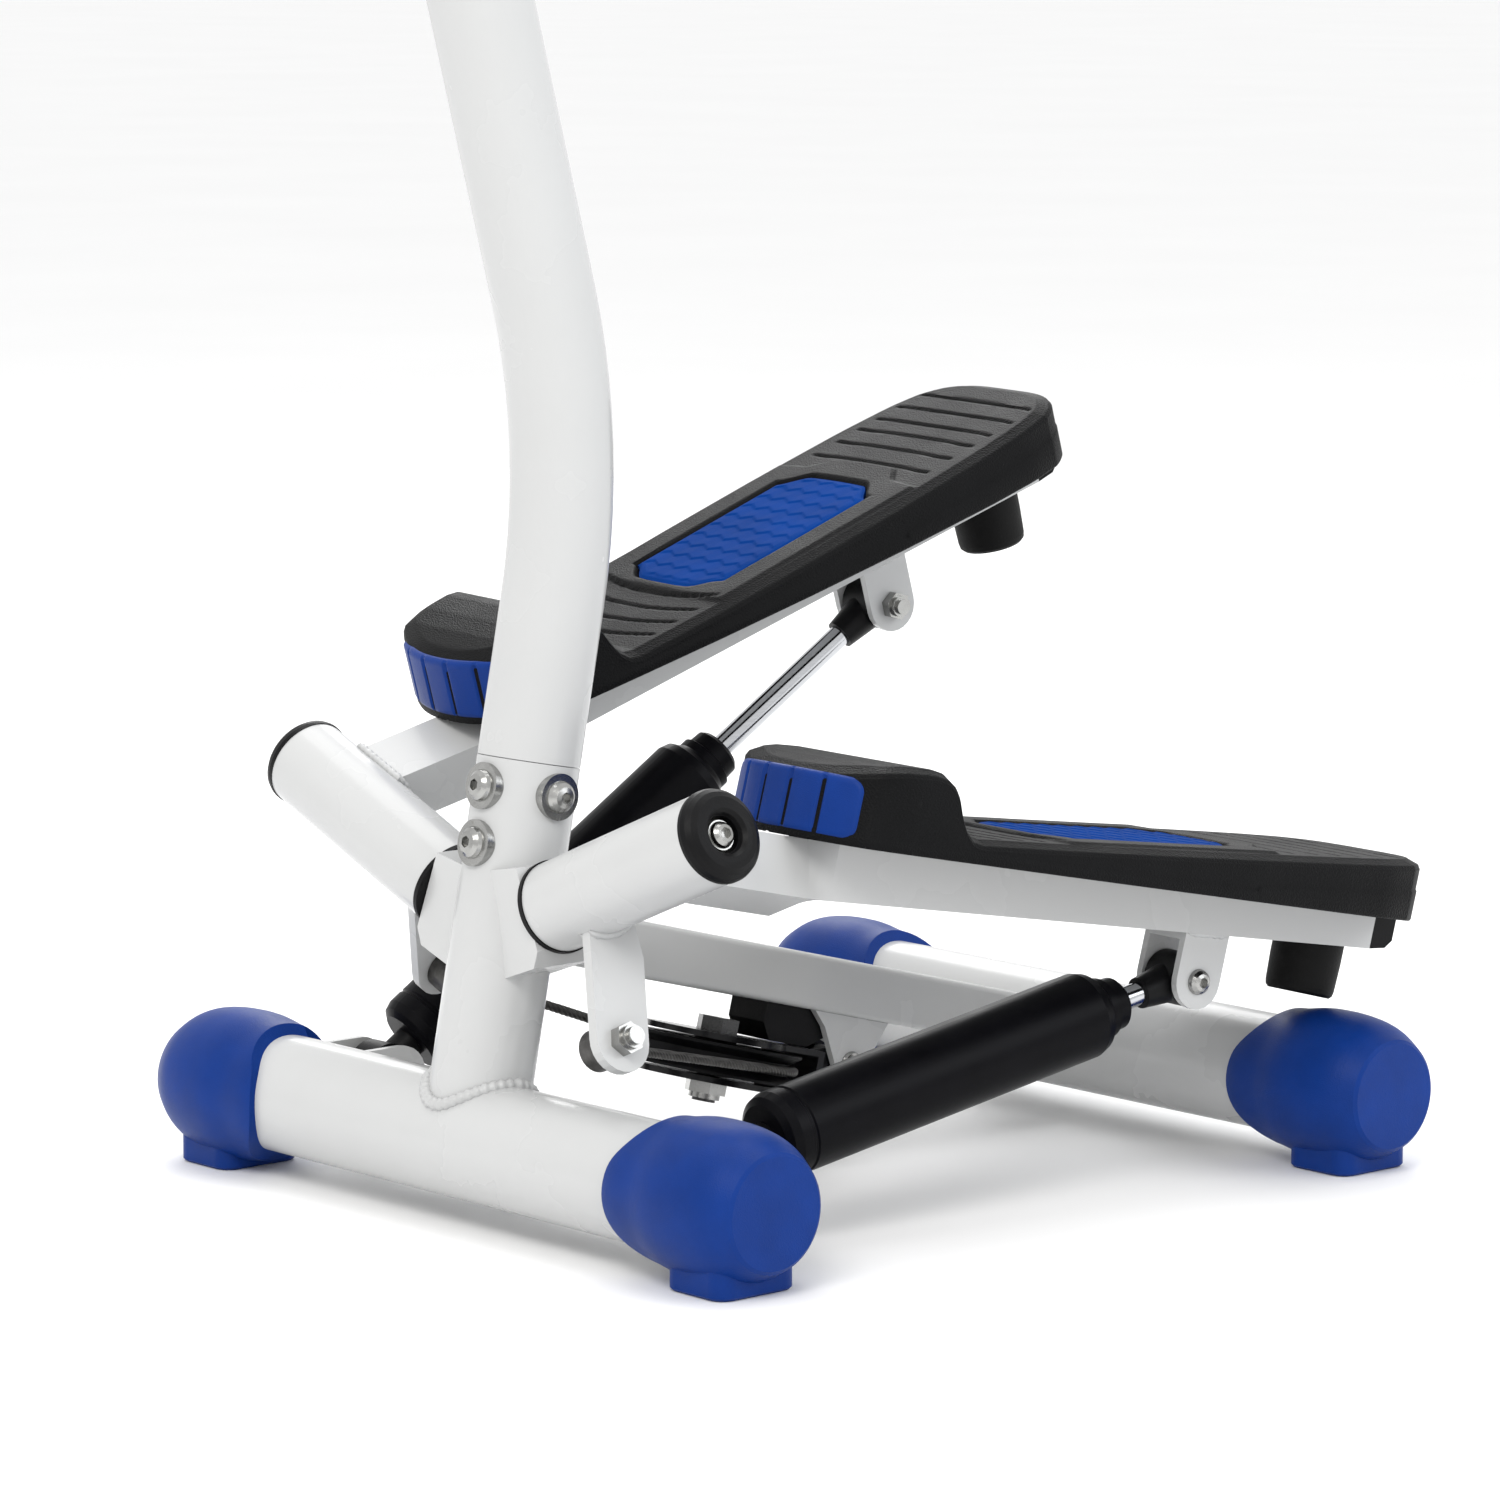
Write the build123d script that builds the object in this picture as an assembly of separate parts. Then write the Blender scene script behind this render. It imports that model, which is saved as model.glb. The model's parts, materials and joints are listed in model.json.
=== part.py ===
from build123d import *
import os
import math

os.makedirs("parts", exist_ok=True)

# ------------------------------------------------------------------ driving dimensions (mm)
ORIGIN_SHIFT_Y = 53.42       # moves the drawing frame so that the whole machine is centred on the origin

# base frame
BASE_TUBE_R = 30.0
BASE_TUBE_WALL = 2.5
BASE_TUBE_HALF = 190.0
AXLE_SPACING_Y = 416.0       # front base tube axis to rear base tube axis
BASE_Z = 40.5                # height of the base tube axes
CAP_END_X = 224.0            # outer face of the end caps
FOOT_X0, FOOT_X1, FOOT_HALF_Y = 171.0, 213.0, 24.5

# column and mast
COLUMN_R = 25.4
COLUMN_WALL = 2.5
COLUMN_LEAN = 11.2           # degrees rearward
COLUMN_LEN = 186.7           # from the front tube axis to the joint with the mast
MAST_WALL = 2.0
MAST_FWD_LEAN = 14.9         # degrees forward above the bend
MAST_BEND_Z = 376.8
MAST_BEND_R = 335.0
MAST_TOP_Z = 1128.0
SPIGOT_R = 22.6
SPIGOT_LEN = 90.0

# pedal hinge, left side: one point on the axis and the axis direction
HINGE_P = (41.9, -186.9, 159.0)
HINGE_TILT = 22.36           # degrees above horizontal, rising outboard
REST_ANGLE = 16.264          # each pedal stands this far from the level position
PIVOT_TUBE_R = 22.5
PIVOT_TUBE_WALL = 2.5
PIVOT_TUBE_LEN = 125.0
AXLE_R = 10.0
AXLE_RUN = 0.05              # radial running clearance in the bushes

# arm: the first leg is square to the hinge tube, the second is level from side to side
ARM_W1, ARM_H1, ARM_W2, ARM_H2, ARM_WALL = 32.0, 30.0, 40.0, 29.0, 2.0
ARM_X = 114.0
ARM_END_Y = 246.0
ARM_BOTTOM = lambda y: 187.4 + 0.0945 * (y + 102.0)
CLEVIS_BOLT = (114.8, 141.3, 185.8)
CLEVIS_GAP, CLEVIS_PLATE, CLEVIS_R = 24.0, 4.0, 14.0
BUMPER_C = (114.0, 222.3)
BUMPER_Z, BUMPER_R = 190.8, 18.3
LEVER_S0, LEVER_S1 = 25.0, 31.0
LEVER_END_Y, LEVER_END_H, LEVER_R = 13.0, -73.3, 15.5

# pedal, in the level position
PEDAL_XC = 114.0
PEDAL_WALL = 4.0
DECK_WALL = 5.0

# damper cylinders
CYL_FOOT = (136.0, -160.0, 48.4)
CYL_R = 22.0
CYL_BODY0, CYL_BODY1, CYL_NECK1 = 22.0, 234.0, 250.0
ROD_R = 6.0
ROD_FROM_EYE = 254.0
FOOT_PIN_R, FOOT_EYE_BORE = 4.0, 10.6
FOOT_PLATE_IN, FOOT_PLATE_T = 14.5, 4.0

# rail, pulley and rope
RAIL_W, RAIL_H = 40.0, 28.0
RAIL_SLOPE = math.degrees(math.atan(0.2624))
PULLEY_C = (0.0, -54.0, 62.0)
PULLEY_R, PULLEY_HALF, ROPE_WRAP_R, ROPE_R = 45.0, 8.0, 42.0, 2.5

# ------------------------------------------------------------------ helpers
def V(*a):
    return Vector(*a)

def cyl(p0, p1, r):
    p0, p1 = Vector(*p0), Vector(*p1)
    d = p1 - p0
    return Plane(origin=p0, z_dir=d.normalized()).location * Cylinder(r, d.length, align=(Align.CENTER, Align.CENTER, Align.MIN))

def tube(p0, p1, r, wall):
    p0v, p1v = Vector(*p0), Vector(*p1)
    e = (p1v - p0v).normalized() * 1.0
    return cyl(p0, p1, r) - cyl(tuple(p0v - e), tuple(p1v + e), r - wall)

def cone(p0, p1, r0, r1):
    p0, p1 = Vector(*p0), Vector(*p1)
    d = p1 - p0
    return Plane(origin=p0, z_dir=d.normalized()).location * Cone(r0, r1, d.length, align=(Align.CENTER, Align.CENTER, Align.MIN))

def hexagon(p0, p1, af):
    p0, p1 = Vector(*p0), Vector(*p1)
    d = p1 - p0
    return extrude(Plane(origin=p0, z_dir=d.normalized()) * RegularPolygon(af / math.sqrt(3), 6), d.length)

def revolve_profile(p0, d, pts):
    """Solid of revolution about the line through p0 along d; pts are (distance along d, radius)."""
    pl = Plane(origin=Vector(*p0), z_dir=Vector(*d).normalized())
    poly = [(0, pts[0][0])] + [(r, t) for t, r in pts] + [(0, pts[-1][0])]
    face = make_face(Polyline(*[(a, 0, b) for a, b in poly], close=True))
    return pl.location * revolve(face, Axis.Z)

def box3(x0, x1, y0, y1, z0, z1):
    return Pos((x0 + x1) / 2, (y0 + y1) / 2, (z0 + z1) / 2) * Box(x1 - x0, y1 - y0, z1 - z0)

def face_of(pts):
    """Plane face through the points, leaving out repeated ones."""
    pts = [Vector(*p) for p in pts]
    keep = []
    for p in pts:
        if not keep or (p - keep[-1]).length > 1e-4:
            keep.append(p)
    if (keep[0] - keep[-1]).length < 1e-4:
        keep.pop()
    return make_face(Polyline(*[tuple(p) for p in keep], close=True))

def prism_x(pts_yz, x0, x1):
    f = face_of([(x0, a, b) for a, b in pts_yz])
    return extrude(f, amount=x1 - x0, dir=(1, 0, 0))

def prism_y(pts_xz, y0, y1):
    f = face_of([(a, y0, b) for a, b in pts_xz])
    return extrude(f, amount=y1 - y0, dir=(0, 1, 0))

def prism_z(pts_xy, z0, z1):
    f = face_of([(a, b, z0) for a, b in pts_xy])
    return extrude(f, amount=z1 - z0, dir=(0, 0, 1))

def bolt(p, d, r, length, head_r, head_h, hexkey=2.6):
    """Button-head bolt; p is under the head, d points from the head along the shank."""
    p, d = Vector(*p), Vector(*d).normalized()
    b = cyl(tuple(p), tuple(p + d * length), r)
    prof = [(-head_h, 0.35 * head_r), (-head_h * 0.86, 0.66 * head_r), (-head_h * 0.5, 0.9 * head_r), (-0.1 * head_h, head_r), (0, head_r)]
    h = revolve_profile(tuple(p), tuple(d), prof)
    sock = hexagon(tuple(p - d * (head_h + 1)), tuple(p - d * (head_h * 0.35)), 2 * hexkey)
    return (b + h) - sock

def lock_nut(p, d, r_hole, af, h):
    p, d = Vector(*p), Vector(*d).normalized()
    n = hexagon(tuple(p), tuple(p + d * h * 0.7), af) + cyl(tuple(p + d * h * 0.7), tuple(p + d * h), af * 0.42)
    return n - cyl(tuple(p - d), tuple(p + d * (h + 1)), r_hole)

nodes = {}
def put(name, shape):
    nodes[name] = shape

# ------------------------------------------------------------------ base frame
FY, RY = -AXLE_SPACING_Y / 2, AXLE_SPACING_Y / 2
lean = math.radians(COLUMN_LEAN)
col_d = V(0, math.sin(lean), math.cos(lean))
col_0 = V(0, FY, BASE_Z)
def on_col(t, front=0.0, x=0.0):
    """Point at distance t up the column axis, moved forward of it by front and sideways by x."""
    p = col_0 + col_d * t
    n = V(0, math.cos(lean), -math.sin(lean))
    return p - n * front + V(x, 0, 0)

front_outer = cyl((-BASE_TUBE_HALF, FY, BASE_Z), (BASE_TUBE_HALF, FY, BASE_Z), BASE_TUBE_R)
rear_outer = cyl((-BASE_TUBE_HALF, RY, BASE_Z), (BASE_TUBE_HALF, RY, BASE_Z), BASE_TUBE_R)
put("base_front_tube", tube((-BASE_TUBE_HALF, FY, BASE_Z), (BASE_TUBE_HALF, FY, BASE_Z), BASE_TUBE_R, BASE_TUBE_WALL))
put("base_rear_tube", tube((-BASE_TUBE_HALF, RY, BASE_Z), (BASE_TUBE_HALF, RY, BASE_Z), BASE_TUBE_R, BASE_TUBE_WALL))

def end_cap(sign, yc):
    """Moulded cap over a base tube end, with its foot; the outline swells from the inboard lip to the middle."""
    outer = Spline((137, 33.0, 0), (146, 34.9, 0), (153, 35.4, 0), (160, 36.0, 0), (170, 37.7, 0), (184, 38.5, 0), (198, 37.7, 0), (209, 35.5, 0), (215.5, 32.8, 0))
    nose = Polyline((215.5, 32.8, 0), (219.5, 30.6, 0), (222.6, 28.8, 0), (CAP_END_X, 27.0, 0), (CAP_END_X, 0, 0), (137, 0, 0), (137, 33.0, 0))
    half = make_face(Wire(list(outer.edges()) + list(nose.edges())))
    body = Pos(0, yc, BASE_Z) * revolve(half, Axis.X)
    foot = box3(FOOT_X0, FOOT_X1, yc - FOOT_HALF_Y, yc + FOOT_HALF_Y, 0, BASE_Z - 12)
    foot = fillet(foot.edges().filter_by(Axis.Z), 9.0)
    foot = chamfer(foot.faces().sort_by(Axis.Z)[0].edges(), 1.2)
    c = body + foot
    # the inboard edge reaches furthest along the sides of the tube
    y1 = yc - 60
    lip = Spline((157, y1, 82), (151, y1, 72), (145, y1, 63.5), (140.3, y1, 56.5), (138.2, y1, 48), (137.8, y1, 39), (140, y1, 29), (147.5, y1, 18), (158, y1, 8.5), (165, y1, -2))
    back = Polyline((165, y1, -2), (100, y1, -2), (100, y1, 82), (157, y1, 82))
    edge = make_face(Wire(list(lip.edges()) + list(back.edges())))
    c = c - extrude(edge, amount=120, dir=(0, 1, 0))
    c = c - cyl((100, yc, BASE_Z), (BASE_TUBE_HALF, yc, BASE_Z), BASE_TUBE_R)
    if yc < 0:
        c = c - box3(100, CYL_FOOT[0] + FOOT_PLATE_IN + FOOT_PLATE_T + 3, yc + 12, yc + 60, -5, 90)
    if sign < 0:
        c = c.mirror(Plane.YZ)
    return c

def biggest(s):
    return s.solids().sort_by(SortBy.VOLUME)[-1]
put("end_caps_front", Compound(children=[biggest(end_cap(1, FY)), biggest(end_cap(-1, FY))]))
put("end_caps_rear", Compound(children=[biggest(end_cap(1, RY)), biggest(end_cap(-1, RY))]))

column_outer = cyl(tuple(on_col(0)), tuple(on_col(COLUMN_LEN)), COLUMN_R)
column_solid_ext = cyl(tuple(on_col(-10)), tuple(on_col(COLUMN_LEN)), COLUMN_R)
column = column_outer - cyl(tuple(on_col(-5)), tuple(on_col(COLUMN_LEN + 5)), COLUMN_R - COLUMN_WALL) - front_outer
column = column.solids().sort_by(SortBy.VOLUME)[-1]

# the four mast bolts: two at the front, one on each side
MAST_BOLTS = [(172.0, "front"), (144.0, "front"), (172.0, "left"), (172.0, "right")]
def bolt_pose(t, side):
    n = V(0, math.cos(lean), -math.sin(lean))
    if side == "front":
        return on_col(t), n * -1.0
    return on_col(t), V(1, 0, 0) if side == "left" else V(-1, 0, 0)

# mast path: along the column axis, then a bend forward
def mast_path():
    p_joint = on_col(COLUMN_LEN + 0.4)
    t_corner = (MAST_BEND_Z - col_0.Z) / math.cos(lean)
    corner = col_0 + col_d * t_corner
    fwd = math.radians(MAST_FWD_LEAN)
    up_d = V(0, -math.sin(fwd), math.cos(fwd))
    half = (lean + fwd) / 2
    tl = MAST_BEND_R * math.tan(half)
    a = corner - col_d * tl
    b = corner + up_d * tl
    top = corner + up_d * ((MAST_TOP_Z - corner.Z) / math.cos(fwd))
    arc_mid_dir = (col_d * -1.0 + up_d).normalized()
    cen_dir = (col_d * -1.0 + up_d)
    cen = corner + cen_dir.normalized() * (MAST_BEND_R / math.cos(half))
    mid = cen + (corner - cen).normalized() * MAST_BEND_R
    return p_joint, a, mid, b, top, up_d
mj, ma, mm, mb, mt, mast_up = mast_path()
mast_wire = Wire([Edge.make_line(mj, ma), Edge.make_three_point_arc(ma, mm, mb), Edge.make_line(mb, mt)])
sec = Plane(origin=mj, z_dir=col_d)
mast = sweep(sec * Circle(COLUMN_R) - sec * Circle(COLUMN_R - MAST_WALL), path=mast_wire)
spigot = tube(tuple(on_col(COLUMN_LEN - SPIGOT_LEN)), tuple(on_col(COLUMN_LEN + 20)), SPIGOT_R, 2.6)
mast = mast + spigot + (cyl(tuple(on_col(COLUMN_LEN + 0.4)), tuple(on_col(COLUMN_LEN + 6)), COLUMN_R - 1) - cyl(tuple(on_col(COLUMN_LEN)), tuple(on_col(COLUMN_LEN + 7)), SPIGOT_R - 2.6))

mast_bolts, mast_washers = [], []
for t, side in MAST_BOLTS:
    c, out = bolt_pose(t, side)
    hole = cyl(tuple(c + out * 10), tuple(c + out * 40), 4.1)
    column = column - hole
    mast = mast - hole
    seat = c + out * (COLUMN_R + 2.2)
    mast_bolts.append(bolt(tuple(seat), tuple(out * -1.0), 4.0, 14.0, 8.0, 4.6))
    w = cyl(tuple(c + out * 18), tuple(seat), 11.5) - column_solid_ext - cyl(tuple(c), tuple(c + out * 60), 4.15)
    mast_washers.append(w.solids().sort_by(SortBy.VOLUME)[-1] if len(w.solids()) > 1 else w)
put("mast_washers", Compound(children=[biggest(w) for w in mast_washers]))

# centre rail from the column to the rear base tube
rs = math.radians(RAIL_SLOPE)
rail_v = V(0, math.cos(rs), -math.sin(rs))
rail_n = V(0, math.sin(rs), math.cos(rs))
RAIL_TOP_REF = V(0, -118.0, 141.2)
rail_mid = RAIL_TOP_REF - rail_n * (RAIL_H / 2)
def rail_pt(v, n, x=0.0):
    """Point in the rail's frame, measured from the pulley centre: v rearward along the rail, n up from it."""
    return V(*PULLEY_C) + rail_v * v + rail_n * n + V(x, 0, 0)
rp = Plane(origin=rail_mid - rail_v * 90, x_dir=V(1, 0, 0), z_dir=rail_v)
rail = extrude(rp * RectangleRounded(RAIL_W, RAIL_H, 3.0), 430) - extrude(rp * RectangleRounded(RAIL_W - 4, RAIL_H - 4, 1.5), 430)
col_long = cyl(tuple(on_col(-20)), tuple(on_col(COLUMN_LEN)), COLUMN_R)
col_front_cut = Plane(origin=on_col(100), z_dir=V(0, -1, 0)).location * Pos(0, 0, 150) * Box(400, 500, 300)
rail = rail - col_long - col_front_cut - rear_outer
rail = rail.solids().sort_by(SortBy.VOLUME)[-1]
beyond = box3(-60, 60, RY, RY + 200, -50, 200)
rail = rail - beyond
rail = rail.solids().sort_by(SortBy.VOLUME)[-1]

# two tabs under the rail hold the tail of the pulley fork
rail_bottom_n = (rail_mid - V(*PULLEY_C)).dot(rail_n) - RAIL_H / 2
def rail_prism(pts_vn, x0, x1):
    """Prism across the rail from points (v, n) in the rail's side view."""
    f = face_of([tuple(rail_pt(a, b, x0)) for a, b in pts_vn])
    return extrude(f, amount=x1 - x0, dir=(1, 0, 0))
TAIL_V, TAIL_N = 78.7, 8.5
tab_out = [(47.5, rail_bottom_n), (99.0, rail_bottom_n), (88.0, TAIL_N - 1.0), (84.0, TAIL_N - 7.5), (75.0, TAIL_N - 8.5), (68.5, TAIL_N - 2.5), (56.0, 25.0)]
tabs = []
for xa, xb in ((14.0, 18.0), (-18.0, -14.0)):
    t = rail_prism(tab_out, xa, xb) - cyl(tuple(rail_pt(TAIL_V, TAIL_N, -30)), tuple(rail_pt(TAIL_V, TAIL_N, 30)), 4.1)
    tabs.append(biggest(t))
put("rail_tabs", Compound(children=tabs))

# pulley fork: two plates joined by a web, held by the adjuster screw
def fork_plate(n0, n1):
    pl = Plane(origin=rail_pt(0, n0), x_dir=V(1, 0, 0), z_dir=rail_n)
    disc = extrude(pl * Circle(36), n1 - n0)
    pl2 = Plane(origin=rail_pt(28, n0), x_dir=V(1, 0, 0), z_dir=rail_n)
    strip = extrude(pl2 * Rectangle(44, 56), n1 - n0)
    return disc + strip
fork = fork_plate(9.5, 12.5) + fork_plate(-12.5, -9.5)
fork = fork + rail_prism([(52, -12.5), (56, -12.5), (56, 12.5), (52, 12.5)], -22, 22)
for xa, xb in ((9.5, 13.0), (-13.0, -9.5)):
    fork = fork + rail_prism([(54, -10.0), (70, -6.0), (84, 0.5), (90, 4.0), (92, 9.0), (89, 15.0), (80, 17.5), (70, 16.0), (54, 12.0)], xa, xb)
fork = fork - cyl(tuple(rail_pt(0, -20)), tuple(rail_pt(0, 20)), 6.15) - cyl(tuple(rail_pt(TAIL_V, TAIL_N, -40)), tuple(rail_pt(TAIL_V, TAIL_N, 40)), 4.1)
put("pulley_fork", biggest(fork))
tail_bolt = bolt(tuple(rail_pt(TAIL_V, TAIL_N, 18.0)), (-1, 0, 0), 4.0, 46.0, 6.8, 4.6)
tail_nut = lock_nut(tuple(rail_pt(TAIL_V, TAIL_N, -18.0)), (-1, 0, 0), 4.0, 13, 8)
tail_bush = cyl(tuple(rail_pt(TAIL_V, TAIL_N, -9.5)), tuple(rail_pt(TAIL_V, TAIL_N, 9.5)), 7.0) - cyl(tuple(rail_pt(TAIL_V, TAIL_N, -20)), tuple(rail_pt(TAIL_V, TAIL_N, 20)), 4.05)
put("fork_tail_bush", tail_bush)
put("pulley_bolt", cyl(tuple(rail_pt(0, -23)), tuple(rail_pt(0, 12.5)), 6.0) + hexagon(tuple(rail_pt(0, 12.5)), tuple(rail_pt(0, 20)), 19))

pz = Plane(origin=rail_pt(0, 0), x_dir=V(1, 0, 0), z_dir=rail_n)
pulley = revolve_profile(tuple(rail_pt(0, 0)), tuple(rail_n), [(-PULLEY_HALF, PULLEY_R), (-6.6, PULLEY_R), (-3.0, ROPE_WRAP_R - ROPE_R - 0.35), (3.0, ROPE_WRAP_R - ROPE_R - 0.35), (6.6, PULLEY_R), (PULLEY_HALF, PULLEY_R)])
pulley = pulley + cyl(tuple(rail_pt(0, -9.2)), tuple(rail_pt(0, 9.2)), 11)
for k in range(5):
    a = 2 * math.pi * k / 5 + 0.3
    q = rail_pt(25 * math.sin(a), -20, 25 * math.cos(a))
    pulley = pulley - cyl(tuple(q), tuple(q + rail_n * 40), 6.5)
pulley = pulley - cyl(tuple(rail_pt(0, -20)), tuple(rail_pt(0, 20)), 6.0 + AXLE_RUN)
put("pulley", pulley)

guide = rail_prism([(18, 22.0), (24, 13.2), (50, 13.2), (62, 20.0), (66, rail_bottom_n), (18, rail_bottom_n)], -13.5, 13.5)
put("fork_guide_block", guide)

# pivot brackets and axles
ht = math.radians(HINGE_TILT)
hd = V(math.cos(ht), 0, math.sin(ht))
he = V(-math.sin(ht), 0, math.cos(ht))
hp = V(*HINGE_P)
hinge_axis = Axis(origin=HINGE_P, direction=tuple(hd))
def H(s, y, h):
    """Point in the left hinge frame."""
    return hp + hd * s + V(0, y, 0) + he * h
e0 = H(-3.0, 0, 22.0)
e1 = H(-3.0, 0, -20.0)
e2 = H(-9.0, 0, -27.0)
bracket = prism_y([(2, 173), (e0.X, e0.Z), (e1.X, e1.Z), (e2.X, e2.Z), (2, 116)], hp.Y - 18.0, hp.Y + 18.0)
bracket = bracket - column_solid_ext
bracket = bracket.solids().sort_by(SortBy.VOLUME)[-1]
# the front and rear faces taper inward towards the column
rail = biggest(rail - bracket - bracket.mirror(Plane.YZ))
put("centre_rail", rail)
put("pivot_brackets", Compound(children=[bracket, bracket.mirror(Plane.YZ)]))
axle = cyl(tuple(H(-3.0, 0, 0)), tuple(H(PIVOT_TUBE_LEN - 3, 0, 0)), AXLE_R)
axle = axle - cyl(tuple(H(PIVOT_TUBE_LEN - 24, 0, 0)), tuple(H(PIVOT_TUBE_LEN, 0, 0)), 4.0)
put("pivot_axles", Compound(children=[axle.solids()[0], axle.mirror(Plane.YZ).solids()[0]]))
ax_screw = bolt(tuple(H(PIVOT_TUBE_LEN + 3.6, 0, 0)), tuple(hd * -1.0), 4.0, 24.0, 6.6, 4.2) + (cyl(tuple(H(PIVOT_TUBE_LEN - 3, 0, 0)), tuple(H(PIVOT_TUBE_LEN + 3.6, 0, 0)), 7.4))
put("axle_screws", Compound(children=[ax_screw.solids()[0], ax_screw.mirror(Plane.YZ).solids()[0]]))

# ------------------------------------------------------------------ one pedal side, in the level position (left)
left = {}
pt = tube(tuple(H(0, 0, 0)), tuple(H(PIVOT_TUBE_LEN, 0, 0)), PIVOT_TUBE_R, PIVOT_TUBE_WALL)
pt_solid = cyl(tuple(H(0, 0, 0)), tuple(H(PIVOT_TUBE_LEN, 0, 0)), PIVOT_TUBE_R)
left["pivot_tube"] = pt
inner_r = PIVOT_TUBE_R - PIVOT_TUBE_WALL
b1 = cyl(tuple(H(-2.6, 0, 0)), tuple(H(0, 0, 0)), 23.3) + cyl(tuple(H(0, 0, 0)), tuple(H(24, 0, 0)), inner_r)
b1 = b1 - cyl(tuple(H(-5, 0, 0)), tuple(H(30, 0, 0)), AXLE_R + AXLE_RUN)
b2 = cyl(tuple(H(PIVOT_TUBE_LEN - 26, 0, 0)), tuple(H(PIVOT_TUBE_LEN - 2.5, 0, 0)), inner_r) - cyl(tuple(H(PIVOT_TUBE_LEN - 30, 0, 0)), tuple(H(PIVOT_TUBE_LEN + 2, 0, 0)), AXLE_R + AXLE_RUN)
left["pivot_bushes"] = Compound(children=[b1.solids()[0], b2.solids()[0]])
cap = revolve_profile(tuple(H(PIVOT_TUBE_LEN, 0, 0)), tuple(hd), [(-2.5, inner_r), (0, inner_r), (0, 23.0), (2.0, 23.0), (4.5, 22.2), (6.8, 20.3), (8.4, 17.6), (9.0, 14.6), (8.6, 12.0), (7.0, 10.2), (5.0, 9.4)])
cap = cap - cyl(tuple(H(PIVOT_TUBE_LEN - 6, 0, 0)), tuple(H(PIVOT_TUBE_LEN + 20, 0, 0)), 9.2)
left["pivot_cap"] = cap

# arm: a square leg at the hinge, a short transition, and a level leg to the heel
def arm_section(y, w_off, h_off):
    """Section of the arm at the world height of y, grown by the offsets."""
    if y < -104:
        f = (y - hp.Y) / 82.0
        c = H(87.0 - 5.0 * f, y - hp.Y, 5.3 * f)
        a, b = hd * (ARM_W1 / 2 + w_off), he * (ARM_H1 / 2 + h_off)
    else:
        c = V(ARM_X, y, ARM_BOTTOM(y) + ARM_H2 / 2)
        a, b = V(ARM_W2 / 2 + w_off, 0, 0), V(0, 0, ARM_H2 / 2 + h_off)
    return face_of([c + a + b, c - a + b, c - a - b, c + a - b])
def arm_shape(off=0.0, y_end=ARM_END_Y):
    ys = [hp.Y, -111.0, -98.0, y_end]
    fs = [arm_section(y, off, off) for y in ys]
    out = loft([fs[0], fs[1]], ruled=True)
    for a, b in ((1, 2), (2, 3)):
        out = out + loft([fs[a], fs[b]], ruled=True)
    return out
arm_outer = arm_shape()
arm_inner = arm_shape(-ARM_WALL, ARM_END_Y + 2)
arm = arm_outer - arm_inner - pt_solid
arm = biggest(arm)

# pedal: moulded shell, open underneath
def zb(y):
    return 222.6 + 0.0637 * y
def zt(y):
    return 237.5 + 0.133 * y
def outline(off=0.0):
    half = [(-109, 56), (-95, 61), (-60, 64), (0, 68), (60, 70), (120, 70), (180, 67.5), (215, 63.5), (232, 58)]
    heel = [(240, 53.5), (246, 46), (250, 37), (252.8, 20), (253.5, 0)]
    toe = [(-118, 42), (-125, 22), (-127.5, 0)]
    right = [(PEDAL_XC + w - off, y) for y, w in half]
    pts = []
    for y, w in reversed(toe):
        pts.append((PEDAL_XC + max(w - off, 0) if w else PEDAL_XC, y + off))
    pts += [(PEDAL_XC + w - off, y + (off if y < -100 else 0)) for y, w in half]
    for y, w in heel:
        pts.append((PEDAL_XC + max(w - off, 0) if w else PEDAL_XC, y - off))
    mir = [(2 * PEDAL_XC - x, y) for x, y in reversed(pts[1:-1])]
    return pts + mir
def slab(off, low, high, y0=-200.0, y1=300.0):
    """Pedal outline moved in by off, between the two side-view lines low and high."""
    side = prism_x([(y, low(y)) for y in (y0, y1)] + [(y, high(y)) for y in (y1, y0)], PEDAL_XC - 120, PEDAL_XC + 120)
    return side & prism_z(outline(off), 100, 400)
shell = slab(0, zb, zt)
toe_side = [(-140, 210), (-48, 222), (-48, 231), (-55, 236), (-60.5, 244), (-63, 252), (-68, 257.5), (-78, 259.5), (-95, 258.5), (-108, 255), (-120, 250), (-140, 241)]
toe_block = prism_x(toe_side, PEDAL_XC - 120, PEDAL_XC + 120) & prism_z(outline(1.5), 100, 400)
toe_block = toe_block - prism_x([(-200, 100), (300, 100), (300, zb(300)), (-200, zb(-200))], PEDAL_XC - 130, PEDAL_XC + 130)
shell = shell + toe_block
cav = slab(PEDAL_WALL, lambda y: zb(y) - 20, lambda y: zt(y) - DECK_WALL)
toe_cav = prism_x([(-140, 200), (-66, 200), (-66, 240), (-70, 250), (-80, 253), (-95, 252), (-108, 248), (-140, 238)], PEDAL_XC - 120, PEDAL_XC + 120) & prism_z(outline(PEDAL_WALL + 4.0), 100, 400)
pedal = shell - cav - toe_cav
arm_clear = arm_shape(1.5, ARM_END_Y + 30)
pedal = pedal - arm_clear

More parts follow.
